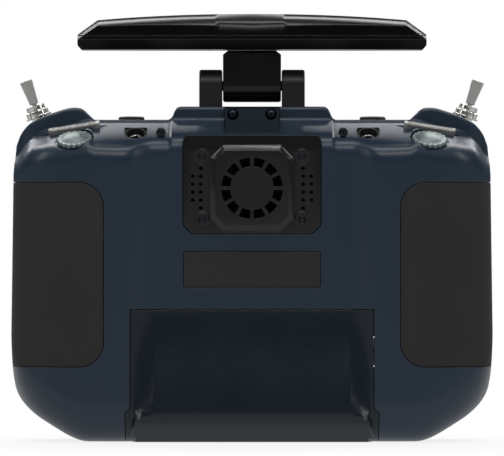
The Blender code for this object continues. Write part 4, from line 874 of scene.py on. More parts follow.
@dataclass(frozen=True)
class BodyShape:
    """The case's outer surface: rear and front sections at any distance from the middle."""

    half: float = 96.4 * MM
    top: float = 133.3 * MM
    lobe_depth: float = 29.0 * MM
    centre_depth: float = 23.5 * MM
    side_depth: float = 5.0 * MM
    front_depth: float = 20.0 * MM
    front_side: float = 15.0 * MM
    front_round: float = 9.2 * MM
    parting: float = 12.0 * MM
    wall: float = 2.8 * MM
    gap: float = 0.3 * MM
    deck_drop: float = 5.3 * MM
    ridge: float = -6.0 * MM
    slope: float = math.tan(math.radians(25.6))
    valley: float = 39.0 * MM
    lobe_inner: float = 51.0 * MM
    under_rise: float = 16.0 * MM
    under_run: float = 14.0 * MM
    top_loss: float = 2.2 * MM
    bottom_loss: float = 0.8 * MM

    @property
    def deck(self) -> float:
        """The height of the deck beside the raised strip."""
        return self.top - self.deck_drop

    @property
    def middle(self) -> float:
        """The height at which the case is widest."""
        return self.top * 0.54

    def top_line(self) -> SmoothLine:
        """The outline's top as a height over the distance from the middle."""
        h, d, t = self.half, self.deck, self.top
        points = [
            (0, t), (28.4 * MM, t), (29.9 * MM, t - 0.5 * MM), (30.9 * MM, t - 1.8 * MM),
            (31.5 * MM, t - 3.4 * MM),
            (32.3 * MM, t - 4.7 * MM), (33.8 * MM, d), (h - 33.8 * MM, d),
            (h - 30.9 * MM, d + 2.3 * MM), (h - 28.2 * MM, d + 4.6 * MM), (h - 25.4 * MM, d + 4.9 * MM),
            (h - 16.9 * MM, d + 2.8 * MM), (h - 11.8 * MM, d + 1.0 * MM), (h - 6.4 * MM, d - 0.9 * MM),
            (h - 3.2 * MM, d - 3.2 * MM), (h - 1.2 * MM, d - 6.0 * MM), (h, d - 10.0 * MM),
        ]
        return SmoothLine(points)

    def slope_line(self) -> SmoothLine:
        """The height at which the shoulder's slope starts."""
        h, d = self.half, self.deck
        points = [
            (0, d), (h - 33.8 * MM, d), (h - 22.8 * MM, d - 2.8 * MM), (h - 15.4 * MM, d - 4.1 * MM),
            (h - 9.2 * MM, d - 6.6 * MM), (h - 4.6 * MM, d - 9.5 * MM), (h, d - 15.0 * MM),
        ]
        return SmoothLine(points)

    def bottom_line(self) -> SmoothLine:
        """The outline's lower edge."""
        h = self.half
        points = [
            (0, 0), (h - 31.6 * MM, 0), (h - 13.2 * MM, 8.3 * MM), (h - 7.0 * MM, 12.4 * MM),
            (h - 3.1 * MM, 16.4 * MM), (h - 1.0 * MM, 20.6 * MM), (h, 26.0 * MM),
        ]
        return SmoothLine(points)

    def rear_depth(self, x: float) -> float:
        """How far the rear face lies behind the origin at a distance from the middle."""
        x = abs(x)
        if x <= self.lobe_inner:
            share = ease((x - self.valley) / (self.lobe_inner - self.valley))
            return self.centre_depth + (self.lobe_depth - self.centre_depth) * share
        share = min((x - self.lobe_inner) / (self.half - self.lobe_inner), 1.0)
        return self.side_depth + (self.lobe_depth - self.side_depth) * math.sqrt(1 - share * share)

    def front_at(self, x: float) -> float:
        """How far the front face lies before the origin at a distance from the middle."""
        share = min(max((abs(x) - (self.half - self.front_round)) / self.front_round, 0.0), 1.0)
        return self.front_side + (self.front_depth - self.front_side) * math.sqrt(1 - share * share)

    def ridge_rear(self, x: float) -> float:
        """Where the ridge's rear wall stands."""
        return self.ridge + 8 * MM * ease((abs(x) - (self.half - 8 * MM)) / (8 * MM))

    def rear_section(self, x: float, inset: float) -> list[Pair]:
        """(y, z) points from the parting plane over the top, down the rear face and under.

        Args:
            x: The distance from the middle.
            inset: How far the section is shrunk.

        Returns:
            The section, always with the same number of points.
        """
        top = self.top_line()(abs(x)) - inset
        rear = self.ridge_rear(x) + 0.9 * inset
        depth = self.rear_depth(x) - inset
        bottom = self.bottom_line()(abs(x)) + inset
        foot = min(self.slope_line()(abs(x)) - 1.1 * inset, top - 1.1 * MM)
        knee = foot - self.slope * (depth + rear - 0.3 * MM)
        front = self.parting - self.gap / 2 + (5 * MM if inset else 0)
        low = bottom + self.under_rise
        drop = top - foot
        corners = [
            (front, top, 0), (rear, top, min(1.7 * MM, 0.62 * drop)),
            (rear - 0.3 * MM, foot, min(1.1 * MM, 0.4 * drop)),
            (-depth, knee, 5.5 * MM), (-depth, low, 0),
        ]
        section = softened(corners, 7)
        for k in range(1, 11):
            angle = math.pi / 2 * k / 10
            y = -depth + self.under_run * (1 - math.cos(angle))
            section.append((y, bottom + self.under_rise * (1 - math.sin(angle))))
        section.append((front, bottom))
        return section

    def front_section(self, x: float, inset: float) -> list[Pair]:
        """(y, z) points from the parting plane over the top edge, down the front face and under.

        Args:
            x: The distance from the middle.
            inset: How far the section is shrunk.

        Returns:
            The section, always with the same number of points.
        """
        top = self.top_line()(abs(x)) - inset
        bottom = self.bottom_line()(abs(x)) + inset
        depth = self.front_at(x) - inset
        corner = max(4.0 * MM - inset, 1.0 * MM)
        start = self.parting + self.gap / 2 - (5 * MM if inset else 0)
        section = [(start, top)]
        for centre, first in ((top - corner, 90), (bottom + corner, 0)):
            for k in range(9):
                angle = math.radians(first - 90 * k / 8)
                section.append((depth - corner + corner * math.cos(angle), centre + corner * math.sin(angle)))
        section.append((start, bottom))
        return section

    def stations(self) -> list[float]:
        """The distances at which sections are taken, close together where the case bends."""
        stretches = [
            (0, 27, 6), (27, 36, 20), (36, 54, 12), (54, 76, 20), (76, 90, 14), (90, 95, 10), (95, 96.4, 7),
        ]
        return spread_out(stretches)

    def solid(self, name: str, section_at: Callable[[float, float], list[Pair]], inset: float = 0.0) -> Solid:
        """The solid between the parting plane and one face of the case.

        Args:
            name: The object's name.
            section_at: rear_section or front_section.
            inset: How far the solid is shrunk.

        Returns:
            The closed solid.
        """
        shrink = (self.half - inset) / self.half
        rings = []
        for x in self.stations():
            section = section_at(x, inset)
            back = [(section[0][0], z) for _, z in section[2:-2]]
            ring = []
            for y, z in section + back[::-1]:
                loss = self.top_loss if z > self.middle else self.bottom_loss
                reach = ease((abs(x) - (self.half - 16 * MM)) / (16 * MM))
                waist = loss * reach * ((z - self.middle) / (self.top - 15 * MM - self.middle)) ** 2
                ring.append((math.copysign(abs(x) * shrink - waist, x), y, z))
            rings.append(ring)
        count = len(section)
        last = 2 * count - 5
        across_ring = [0] + list(range(last, count - 1, -1)) + [count - 1]
        ends = [(i + 1, i + 2, across_ring[i + 1], across_ring[i]) for i in range(count - 3)]
        return Workshop.loft(name, rings, ends)

    def on_shoulder(self, x: float, y: float) -> Vector:
        """The point of the shoulder's slope above (x, y), where a control is seated."""
        foot = self.slope_line().straight(abs(x))
        return Vector((x, y, foot - self.slope * (self.ridge_rear(x) - 0.3 * MM - y)))

    def shoulder_normal(self, side: Side, tilt: float) -> Vector:
        """The direction away from the shoulder, tipped outwards by an angle in degrees."""
        return Vector((math.tan(math.radians(tilt)) * side.value, -self.slope, 1)).normalized()


SHAPE = BodyShape()


@dataclass
class Grips(Assembly):
    """The two rubber palm grips and the pockets that they lie in."""

    inner_inset: float = 37.6 * MM
    top_inset: float = 30.5 * MM
    bottom: float = 30.0 * MM
    corner: float = 9.5 * MM
    thickness: float = 1.5 * MM

    def outline(self, side: Side, clearance: float) -> list[Pair]:
        """The grip's edge as seen from behind.

        Args:
            side: The side of the case.
            clearance: How far the edge is moved outwards.

        Returns:
            The outline, running out past the side of the case.
        """
        inner = SHAPE.half - self.inner_inset - clearance
        outer = SHAPE.half + 10 * MM
        low, high = self.bottom - clearance, SHAPE.top - self.top_inset + clearance
        corner = self.corner + clearance
        points = [(outer, low), (outer, high)]
        for centre, start in ((high - corner, 90), (low + corner, 180)):
            for k in range(13):
                angle = math.radians(start + 90 * k / 12)
                points.append((inner + corner + corner * math.cos(angle), centre + corner * math.sin(angle)))
        return [(side.value * x, z) for x, z in points]

    def pocket(self, side: Side) -> Solid:
        """The room that a grip needs in the rear housing."""
        room = Workshop.slab("pocket", self.outline(side, SHAPE.gap), -40 * MM, SHAPE.parting - 2 * MM)
        floor = SHAPE.solid("floor", SHAPE.rear_section, self.thickness + SHAPE.gap)
        return Workshop.carve(room, [floor])

    def build(self) -> None:
        """Builds both grips as skins cut from the case's own surface."""
        for side in Side:
            skin = SHAPE.solid(f"grip_skin_{side.label}", SHAPE.rear_section)
            edge = Workshop.slab("edge", self.outline(side, 0), -40 * MM, SHAPE.parting - 2 * MM - SHAPE.gap)
            Workshop.carve(skin, [edge], "INTERSECT")
            Workshop.carve(skin, [SHAPE.solid("underside", SHAPE.rear_section, self.thickness)])
            self.keep(skin, self.looks.rubber, "case", f"grip_{side.label}")


@dataclass
class BatteryDoor(Assembly):
    """The bulged door over the cells, with a raised middle between two sloping flanks."""

    half: float = 48.0 * MM
    foot_half: float = 50.0 * MM
    top: float = 52.4 * MM
    jog: float = 12.6 * MM
    bulge: float = 7.5 * MM
    lip: float = 8.8 * MM
    wall: float = 2.2 * MM
    front: float = -8.0 * MM
    flank: float = 9.6 * MM

    def outline(self, clearance: float) -> list[Pair]:
        """The door's edge as seen from behind."""
        wide, foot, step = self.half + clearance, self.foot_half + clearance, self.foot_half - self.half
        right = [
            (foot, -5 * MM), (foot, self.jog - step / 2), (wide, self.jog + step / 2),
            (wide, self.top + clearance),
        ]
        return right + [(-x, z) for x, z in reversed(right)]

    def rise(self, x: float, z: float) -> float:
        """How far the door has risen from its edge to its raised middle, from 0 to 1."""
        width = self.flank - (self.flank - 1.8 * MM) * ease((17 * MM - z) / (9 * MM))
        share = (self.half - abs(x)) / width
        soft = 0.06
        if share <= -soft or share >= 1 + soft:
            return min(max(share, 0.0), 1.0)
        if share < soft:
            return (share + soft) ** 2 / (4 * soft)
        if share > 1 - soft:
            return 1 - (1 + soft - share) ** 2 / (4 * soft)
        return share

    def section(self, x: float, inset: float) -> list[Pair]:
        """(y, z) points down the door's face and under it.

        Args:
            x: The distance from the middle.
            inset: The wall's thickness for the inner face, or 0.

        Returns:
            The section.
        """
        depth = SHAPE.rear_depth(x)
        heights = [self.top + 2 * MM] + [(51 - 3.5 * k) * MM for k in range(10)] + [SHAPE.under_rise]
        flush = [(-depth, z) for z in heights]
        for k in range(1, 9):
            angle = math.pi / 2 * k / 8
            y = -depth + SHAPE.under_run * (1 - math.cos(angle))
            flush.append((y, SHAPE.under_rise * (1 - math.sin(angle))))
        bulged = []
        for z in heights:
            out = SHAPE.centre_depth + self.bulge * ease((self.top - z) / (self.top - self.lip))
            bulged.append((-max(out, depth), z))
        rim = -SHAPE.centre_depth - self.bulge
        foot = [
            (rim, self.lip + 4 * MM, 0), (rim, self.lip + 0.2 * MM, 1.6 * MM),
            (rim + 2.2 * MM, self.lip - 2.4 * MM, 1.6 * MM), (rim + 10 * MM, 0, 0),
        ]
        bulged += softened(foot, 2)
        points = []
        for (fy, fz), (by, bz) in zip(flush, bulged):
            share = self.rise(x, bz)
            points.append((fy + (by - fy) * share, fz + (bz - fz) * share))
        points.append((self.front, 0))
        if inset:
            points = [(y + inset, max(z, inset) if i > 11 else z) for i, (y, z) in enumerate(points)]
            points[-1] = (self.front, inset)
        return points

    def stations(self) -> list[float]:
        """Distances from the middle, close together on the flanks."""
        right = [
            10, 20, 30, 35, 37, 37.6, 38.0, 38.4, 38.8, 39.2, 40, 42, 44, 45.5, 46.2, 46.6, 47, 47.4, 47.7,
            48, 48.3, 49, 50.2, 51,
        ]
        return [-x * MM for x in reversed(right)] + [0.0] + [x * MM for x in right]

    def build(self) -> None:
        """Builds the door."""
        rings = []
        for x in self.stations():
            outer, inner = self.section(x, 0), self.section(x, self.wall)
            rings.append([(x, y, z) for y, z in outer + inner[::-1]])
        door = Workshop.loft("battery_door_skin", rings)
        Workshop.carve(door, [Workshop.slab("bounds", self.outline(0), -45 * MM, 0)], "INTERSECT")
        # The door's finish is a darker copy of the shell's navy: painted shade.
        self.keep(door, self.looks.door, "battery_door", "battery_door")


@dataclass
class FanUnit(Assembly):
    """The fan, its grille cover and the cover's screws."""

    width: float = 54.4 * MM
    height: float = 38.8 * MM
    corner: float = 3.5 * MM
    overlap: float = 1.8 * MM
    drop: float = 1.6 * MM
    plate: float = 1.6 * MM
    grille: float = 33.6 * MM
    slot_outer: float = 12.2 * MM
    slot_inner: float = 8.6 * MM
    slots: int = 12
    slot_share: float = 0.74
    screw_x: float = 19.8 * MM
    screw_z: float = 12.4 * MM
    vent_pitch: float = 3.15 * MM
    size: float = 30.0 * MM
    depth: float = 7.0 * MM
    bore: float = 13.8 * MM
    hub: float = 8.2 * MM
    blades: int = 7

    @property
    def cover_z(self) -> float:
        """The height of the cover's middle."""
        drop = SHAPE.slope * (SHAPE.centre_depth + SHAPE.ridge - 0.3 * MM)
        return SHAPE.deck - drop + self.overlap - self.height / 2

    @property
    def centre_z(self) -> float:
        """The height of the fan's axis."""
        return self.cover_z - self.drop

    @property
    def rear(self) -> float:
        """The cover plate's rear face."""
        return -SHAPE.centre_depth - SHAPE.gap

    def edge(self, clearance: float) -> list[Pair]:
        """The cover plate's edge as seen from behind."""
        return chamfered_box(
            self.width + 2 * clearance, self.height + 2 * clearance, 1.2 * MM, self.corner, (0, self.cover_z)
        )

    def openings(self) -> list[Solid]:
        """What the cover needs cut from the rear housing."""
        window = rounded_box(self.width - 5 * MM, self.size + 2.4 * MM, 2 * MM, centre=(0, self.centre_z))
        return [
            Workshop.slab(
                "window", window, -SHAPE.centre_depth - 3 * MM, -SHAPE.centre_depth + SHAPE.wall + 3 * MM,
            ),
            Workshop.slab(
                "rebate", self.edge(SHAPE.gap), -SHAPE.centre_depth - 9 * MM,
                -SHAPE.centre_depth + self.plate,
            ),
        ]

    def grille_block(self) -> Solid:
        """The raised square round the slots, with a broad bevel."""
        layers = []
        for y, shrink in ((0.5, 0.0), (-0.25, 0.0), (-0.5, 0.15), (-2.05, 2.1), (-2.2, 2.5)):
            width, height = self.grille - 2 * shrink * MM, self.grille + 0.6 * MM - 2 * shrink * MM
            corner = 5.2 * MM - 0.6 * shrink * MM
            layers.append(
                (self.rear + y * MM, chamfered_box(width, height, corner, corner, (0, self.centre_z)))
            )
        return Workshop.stack("grille_block", layers, Axis.Y, 0.3 * MM)

    def screw_bosses(self) -> list[Solid]:
        """The low domes that carry the corner screws."""
        bosses = []
        for x, z in self.screw_places():
            boss = Workshop.lathe("boss", [(0, -1), (3.1, -1), (3.1, 0.25), (2.75, 0.6), (0, 0.6)], 32)
            boss.scale = (MM, MM, MM)
            bosses.append(Workshop.place(boss, (x, self.rear, self.centre_z + z), TO_REAR))
        return bosses

    def screw_places(self) -> list[Pair]:
        """The screws' places from the cover's middle."""
        return [(a * self.screw_x, b * self.screw_z) for b in (1, -1) for a in (-1, 1)]

    def vents(self) -> list[Pair]:
        """The round vents beside the grille, from the cover's middle."""
        return [
            (side.value * (self.grille / 2 + offset), (row - (rows - 1) / 2) * self.vent_pitch)
            for side in Side for offset, rows in ((3.5 * MM, 6), (6.7 * MM, 4)) for row in range(rows)
        ]

    def slot_cutters(self) -> list[Solid]:
        """The ring of slots in front of the blades."""
        made = []
        step = 2 * math.pi / self.slots
        for index in range(self.slots):
            spread = [(index + 0.5) * step + step * self.slot_share * (k / 6 - 0.5) for k in range(7)]
            shape = [
                (self.slot_outer * math.cos(a), self.centre_z + self.slot_outer * math.sin(a))
                for a in spread
            ]
            shape += [
                (
                    self.slot_inner * math.cos(a), self.centre_z + self.slot_inner * math.sin(a),
                ) for a in reversed(spread)
            ]
            made.append(Workshop.slab("slot", shape, self.rear - 5 * MM, self.rear + 5 * MM))
        return made

    def build_cover(self) -> None:
        """Builds the cover: plate, raised grille, bosses, slots and vents."""
        cover = Workshop.slab(
            "fan_cover_plate", self.edge(0), self.rear, -SHAPE.centre_depth + self.plate - 2 * SHAPE.gap,
            rounding=0.45 * MM
        )
        bend, top = self.cover_z + self.height / 2 - 5.8 * MM, self.cover_z + self.height / 2 + MM
        wedge = [
            (self.rear - 2 * MM, bend), (self.rear, bend), (self.rear + 0.6 * MM, top),
            (self.rear - 2 * MM, top),
        ]
        Workshop.carve(cover, [Workshop.slab("bend", wedge, -self.width, self.width, Axis.X)])
        Workshop.carve(cover, [self.grille_block(), *self.screw_bosses()], "UNION")
        cutters = self.slot_cutters()
        for x, z in self.vents():
            at = (x, self.rear - 2 * MM, self.centre_z + z)
            cutters.append(Workshop.rod("vent", 0.8 * MM, at, (x, self.rear + 5 * MM, at[2]), 16))
        for x, z in self.screw_places():
            at = (x, self.rear - 3 * MM, self.centre_z + z)
            cutters.append(Workshop.rod("seat", 1.6 * MM, at, (x, self.rear + 0.2 * MM, at[2]), 24))
            cutters.append(Workshop.rod("shaft", 0.9 * MM, at, (x, self.rear + 5 * MM, at[2]), 16))
        Workshop.carve(cover, cutters)
        self.keep(cover, self.looks.cover, "case", "fan_cover")

    def build_screws(self) -> None:
        """Builds the four corner screws with hexagon sockets."""
        for index, (x, z) in enumerate(self.screw_places(), 1):
            screw = screw_head(f"cover_screw_head_{index}", 1.35 * MM, 0.9 * MM, 0.65 * MM)
            Workshop.place(screw, (x, self.rear + 0.2 * MM, self.centre_z + z), TO_REAR)
            self.keep(screw, self.looks.screw, "case", f"cover_screw_{index}")

    def build_fan(self) -> None:
        """Builds the fan's frame and its bladed rotor."""
        rear = -SHAPE.centre_depth + self.plate - SHAPE.gap
        back = rear + self.depth
        frame_shape = rounded_box(self.size, self.size, 2 * MM, centre=(0, self.centre_z))
        housing = Workshop.slab("fan_frame_casting", frame_shape, rear, back, rounding=0.3 * MM)
        at = (0, rear - 1 * MM, self.centre_z)
        Workshop.carve(housing, [Workshop.rod("bore", self.bore, at, (0, back + 1 * MM, self.centre_z), 64)])
        extras = [
            Workshop.rod(
                "motor_plate", self.hub, (0, back - 1.2 * MM, self.centre_z), (0, back, self.centre_z),
            ),
            Workshop.rod("post", 1.5 * MM, (0, rear + 1.5 * MM, self.centre_z), (0, back, self.centre_z), 24),
        ]
        for k in range(3):
            angle = math.radians(90 + 120 * k)
            points = [
                (self.hub - 1 * MM, -1 * MM), (self.bore + 1 * MM, -1 * MM), (self.bore + 1 * MM, MM),
                (self.hub - MM, MM),
            ]
            turned = [
                (
                    a * math.cos(angle) - b * math.sin(angle),
                    self.centre_z + a * math.sin(angle) + b * math.cos(angle),
                )
                for a, b in points
            ]
            extras.append(Workshop.slab("spoke", turned, back - 1.2 * MM, back))
        Workshop.carve(housing, extras, "UNION")
        self.keep(housing, self.looks.fan, "case", "fan_frame")
        self.keep(self.rotor(rear), self.looks.fan, "fan_rotor", "fan_rotor")

    def rotor(self, rear: float) -> Solid:
        """A hub with curved blades.

        Args:
            rear: The fan's rear plane.

        Returns:
            The rotor, in place.
        """
        profile = [(1.8, 5.4), (1.8, 1.2), (0.0, 1.2)]
        outer = [(0, 0.35), (self.hub / MM - 0.5, 0.35), (self.hub / MM, 0.85), (self.hub / MM, 5.4)]
        hub = Workshop.lathe("hub", in_metres(outer + profile), 48)
        Workshop.place(hub, (0, rear, self.centre_z), TO_FRONT)
        parts = [hub]
        for index in range(self.blades):
            rings = []
            for k in range(7):
                share = k / 6
                radius = self.hub - 0.4 * MM + (self.bore - 0.6 * MM - self.hub + 0.4 * MM) * share
                sweep = 2 * math.pi * index / self.blades + 0.30 * share
                rings.append(self.blade_ring(radius, sweep, math.radians(42 - 12 * share), rear + 3 * MM))
            parts.append(Workshop.loft("blade", rings))
        return gather("fan_rotor_moulding", parts)

    def blade_ring(self, radius: float, sweep: float, lean: float, middle: float) -> list[Triple]:
        """One section through a blade.

        Args:
            radius: The distance from the axis.
            sweep: The angle round the axis.
            lean: The blade's pitch.
            middle: The y value of the blade's middle.

        Returns:
            The ring of points.
        """
        chord, thick = 5.6 * MM, 0.45 * MM
        ring = []
        for side in (1, -1):
            for k in range(7):
                t = (k / 6 - 0.5) * side
                camber = 0.5 * MM * (1 - 4 * t * t)
                half = thick * (1 - (2 * t) ** 2 * 0.8) * side
                along = t * chord
                tangent = along * math.cos(lean) - (camber + half) * math.sin(lean)
                axial = along * math.sin(lean) + (camber + half) * math.cos(lean)
                angle = sweep + tangent / radius
                ring.append(
                    (radius * math.cos(angle), middle + axial, self.centre_z + radius * math.sin(angle))
                )
        return ring

    def build(self) -> None:
        """Builds the whole unit."""
        self.build_cover()
        self.build_screws()
        self.build_fan()


def gather(name: str, parts: Sequence[Solid]) -> Solid:
    """Joins objects into one mesh as they stand, without a Boolean.

    Args:
        name: The new object's name.
        parts: The objects, which are used up.

    Returns:
        The new object.
    """
    bm = bmesh.new()
    for part in parts:
        mesh = part.data
        mesh.transform(part.matrix_world)
        bm.from_mesh(mesh)
        bpy.data.objects.remove(part, do_unlink=True)
    mesh = bpy.data.meshes.new(name)
    bm.to_mesh(mesh)
    bm.free()
    return put(bpy.data.objects.new(name, mesh))


def screw_head(name: str, radius: float, height: float, socket: float) -> Solid:
    """A low domed screw head with a hexagon socket, along local Z."""
    profile = [(0, -0.3 * MM), (radius, -0.3 * MM), (radius, 0.55 * height)]
    profile += [
        (radius * math.cos(a), 0.55 * height + 0.45 * height * math.sin(a)) for a in (0.35, 0.75, 1.15)
    ]
    profile.append((0, height))
    head = Workshop.lathe(name, profile, 32)
    return Workshop.carve(
        head, [Workshop.rod("socket", socket, (0, 0, 0.25 * height), (0, 0, height + MM), 6)],
    )


@dataclass
class CaseShell(Assembly):
    """The rear and front housings, the hinge boss and every opening in them."""

    boss_half: float = 11.0 * MM
    boss_depth: float = 4.5 * MM
    boss_foot: float = 12.0 * MM
    boss_height: float = 11.7 * MM
    screw_x: float = 7.6 * MM
    screw_drop: float = 3.3 * MM
    case_screw_x: float = 36.2 * MM
    case_screw_drop: float = 10.5 * MM
    label_width: float = 54.0 * MM
    label_height: float = 14.0 * MM
    label_drop: float = 57.8 * MM
    label_depth: float = 0.8 * MM

    @property
    def label_z(self) -> float:
        """The height of the label recess's middle."""
        return SHAPE.top - self.label_drop - self.label_height / 2

    def boss(self) -> Solid:
        """The wedge behind the antenna's bracket."""
        r, t = SHAPE.ridge, SHAPE.top
        corners = [
            (r + 3 * MM, t - SHAPE.gap, 0), (r - self.boss_depth, t - SHAPE.gap, 1.3 * MM),
            (r - self.boss_foot, t - self.boss_height, 0),
            (r - self.boss_foot + 3 * MM, t - self.boss_height - 3 * MM, 0),
            (r + 3 * MM, t - self.boss_height - 3 * MM, 0),
        ]
        shape = softened(corners, 4)
        return Workshop.slab("boss", shape, -self.boss_half, self.boss_half, Axis.X, 0.7 * MM)

    def hinge_cutters(self) -> list[Solid]:
        """The pockets for the bracket and its screws."""
        t, clear = SHAPE.top, SHAPE.gap
        y, ear = Antenna.y, Antenna.ear
        width, deep = 2 * (Antenna.arm_half + clear + ear) + 2 * clear, 2 * Antenna.radius + 2 * clear
        bar = rounded_box(width, deep, 0.8 * MM, 3, (0, y))
        made = [Workshop.slab("bar", bar, t - 5.7 * MM - clear, t - 1.3 * MM + clear, Axis.Z)]
        for side in Side:
            middle = side.value * (Antenna.arm_half + clear + ear / 2)
            slot = rounded_box(ear + 2 * clear, deep, 0.8 * MM, 3, (middle, y))
            made.append(Workshop.slab("ear_slot", slot, t - 4 * MM, t + 4 * MM, Axis.Z))
            seat = (side.value * self.screw_x, SHAPE.ridge - 2.7 * MM, t - self.screw_drop)
            made.append(
                Workshop.rod("thread", 1.7 * MM, (seat[0], seat[1] - MM, seat[2]), (seat[0], 0, seat[2]), 24)
            )
            made.append(Workshop.rod("room", 2.25 * MM, (seat[0], seat[1] - 15 * MM, seat[2]), seat, 36))
        return made

    def shoulder_cutters(self, side: Side) -> list[Solid]:
        """What one shoulder's controls need cut from the rear housing.

        Args:
            side: The side of the case.

        Returns:
            The cutters.
        """
        s = side.value
        normal = SHAPE.shoulder_normal(side, Dials.tilt)
        dial_at = SHAPE.on_shoulder(s * (SHAPE.half - Dials.inset), Dials.y)
        slide_at = SHAPE.on_shoulder(s * Sliders.x, Sliders.y)
        jack_at, out = Jacks.seat(side), Jacks.axis()
        made = [
            Workshop.rod("dial_well", Dials.well, dial_at - normal * 1.2 * MM, dial_at + normal * 6 * MM, 64),
            Workshop.rod("dial_bore", Dials.bore, dial_at - normal * 8 * MM, dial_at + normal * 2 * MM, 32),
            Workshop.rod("jack_port", Jacks.port, jack_at - out * 12 * MM, jack_at + out * 8 * MM, 48),
        ]
        flare = Workshop.slab("jack_flare", Jacks.mouth(0), -2.0 * MM, 8 * MM, Axis.Z)
        made.append(Workshop.place(flare, jack_at, Jacks.turn()))
        reach = Sliders.length + 2 * Sliders.travel + 2 * SHAPE.gap
        groove = rounded_box(reach, Sliders.width + 2 * SHAPE.gap, 0.5 * MM, 3)
        channel = Workshop.slab("channel", groove, -Sliders.sink - SHAPE.gap, 6 * MM, Axis.Z)
        made.append(Workshop.place(channel, slide_at, Sliders.turn(side)))
        length = 4 * MM + 2 * Sliders.travel + 2 * SHAPE.gap
        slot = Workshop.slab(
            "slide_slot", rounded_box(length, 2.2 * MM, 1.0 * MM, 4), -10 * MM, 2 * MM, Axis.Z,
        )
        made.append(Workshop.place(slot, slide_at, Sliders.turn(side)))
        x, y = s * PushButtons.x, PushButtons.y
        low, high = (x, y, SHAPE.deck - 5 * MM), (x, y, SHAPE.deck + 2 * MM)
        made.append(Workshop.rod("push_hole", PushButtons.hole, low, high, 48))
        x, z = s * self.case_screw_x, SHAPE.top - self.case_screw_drop
        made.append(Workshop.rod("case_screw", 1.85 * MM, (x, -27 * MM, z), (x, -5 * MM, z), 32))
        at = ToggleSwitches.shoulder_place(side)
        lean = ToggleSwitches.shoulder_turn(side) @ Vector((0, 0, 1))
        made.append(
            Workshop.rod("toggle_hole", ToggleSwitches.hole, at - lean * 8 * MM, at + lean * 5 * MM, 32)
        )
        return made

    def build_rear(self, grips: Grips, fan: FanUnit, door: BatteryDoor) -> None:
        """Builds the rear housing.

        Args:
            grips: The grips, for their pockets.
            fan: The fan unit, for its window and rebate.
            door: The battery door, for its opening.
        """
        housing = SHAPE.solid("rear_shell", SHAPE.rear_section)
        room = Workshop.slab(
            "room", rounded_box(2 * self.boss_half - MM, 20 * MM, MM, 3, (0, SHAPE.ridge - 4 * MM)),
            SHAPE.top - 15 * MM, SHAPE.top + MM, Axis.Z,
        )
        cavity = Workshop.carve(SHAPE.solid("cavity", SHAPE.rear_section, SHAPE.wall), [room])
        label = rounded_box(
            self.label_width + 0.6 * MM, self.label_height + 0.6 * MM, MM, 4, (0, self.label_z),
        )
        cutters = [
            Workshop.slab("door_cut", door.outline(SHAPE.gap), -45 * MM, door.front + SHAPE.gap),
            Workshop.slab(
                "label", label, -SHAPE.centre_depth - 3 * MM,
                -SHAPE.centre_depth + self.label_depth + SHAPE.gap,
            ),
            *fan.openings(),
            *self.hinge_cutters(),
            *[grips.pocket(side) for side in Side],
        ]
        for side in Side:
            cutters += self.shoulder_cutters(side)
        Workshop.carve(housing, [cavity])
        Workshop.carve(housing, cutters)
        self.keep(housing, self.looks.shell, "case", "rear_housing")
        # The boss's finish is a darker copy of the shell's navy: painted shade.
        boss = Workshop.carve(self.boss(), self.hinge_cutters())
        self.keep(boss, self.looks.boss, "case")

    def build_label(self) -> None:
        """Builds the plain plate in the label recess."""
        shape = rounded_box(self.label_width, self.label_height, MM, 5, (0, self.label_z))
        plate = Workshop.slab(
            "label_recess_plate", shape, -SHAPE.centre_depth, -SHAPE.centre_depth + self.label_depth,
            rounding=0.2 * MM
        )
        self.keep(plate, self.looks.label, "case", "label_plate")

    def build_front(self) -> None:
        """Builds the front housing with its openings."""
        housing = SHAPE.solid("front_shell", SHAPE.front_section)
        face = SHAPE.front_depth
        inner = face - SHAPE.wall
        Workshop.carve(housing, [SHAPE.solid("cavity", SHAPE.front_section, SHAPE.wall)])
        middle = (0, FrontControls.pane_z)
        lens, view = rounded_box(
            76.6 * MM, 52.6 * MM, 2 * MM, centre=middle,
        ), rounded_box(71 * MM, 47 * MM, MM, centre=middle)
        cutters = [
            Workshop.slab("lens", lens, face - 1.7 * MM, face + 3 * MM),
            Workshop.slab("view", view, inner - 2 * MM, face + 2 * MM),
        ]
        for shape in FrontControls.openings():
            cutters.append(Workshop.slab("opening", shape, inner - 2 * MM, face + 3 * MM))
        Workshop.carve(housing, cutters)
        self.keep(housing, self.looks.shell, "case", "front_housing")

    def build_bracket_screws(self) -> None:
        """Builds the two flush screws in the boss."""
        for side in Side:
            at = (side.value * self.screw_x, SHAPE.ridge - 3.0 * MM, SHAPE.top - self.screw_drop)
            screw = screw_head(f"bracket_screw_head_{side.label}", 2.0 * MM, 2.9 * MM, 0.9 * MM)
            Workshop.place(screw, at, TO_REAR)
            self.keep(screw, self.looks.boss_screw, "case", f"bracket_screw_{side.label}")

    def build_case_screws(self) -> None:
        """Builds the two screws deep in their holes beside the fan."""
        for side in Side:
            at = (side.value * self.case_screw_x, -18.5 * MM, SHAPE.top - self.case_screw_drop)
            screw = screw_head(f"case_screw_head_{side.label}", 1.8 * MM, 1.2 * MM, 0.9 * MM)
            self.keep(Workshop.place(screw, at, TO_REAR), self.looks.screw, "case")

    def build(self) -> None:
        """Builds what needs nothing from the other assemblies."""
        self.build_case_screws()
        self.build_label()
        self.build_front()
        self.build_bracket_screws()


# ---------------------------------------------------------------- the antenna


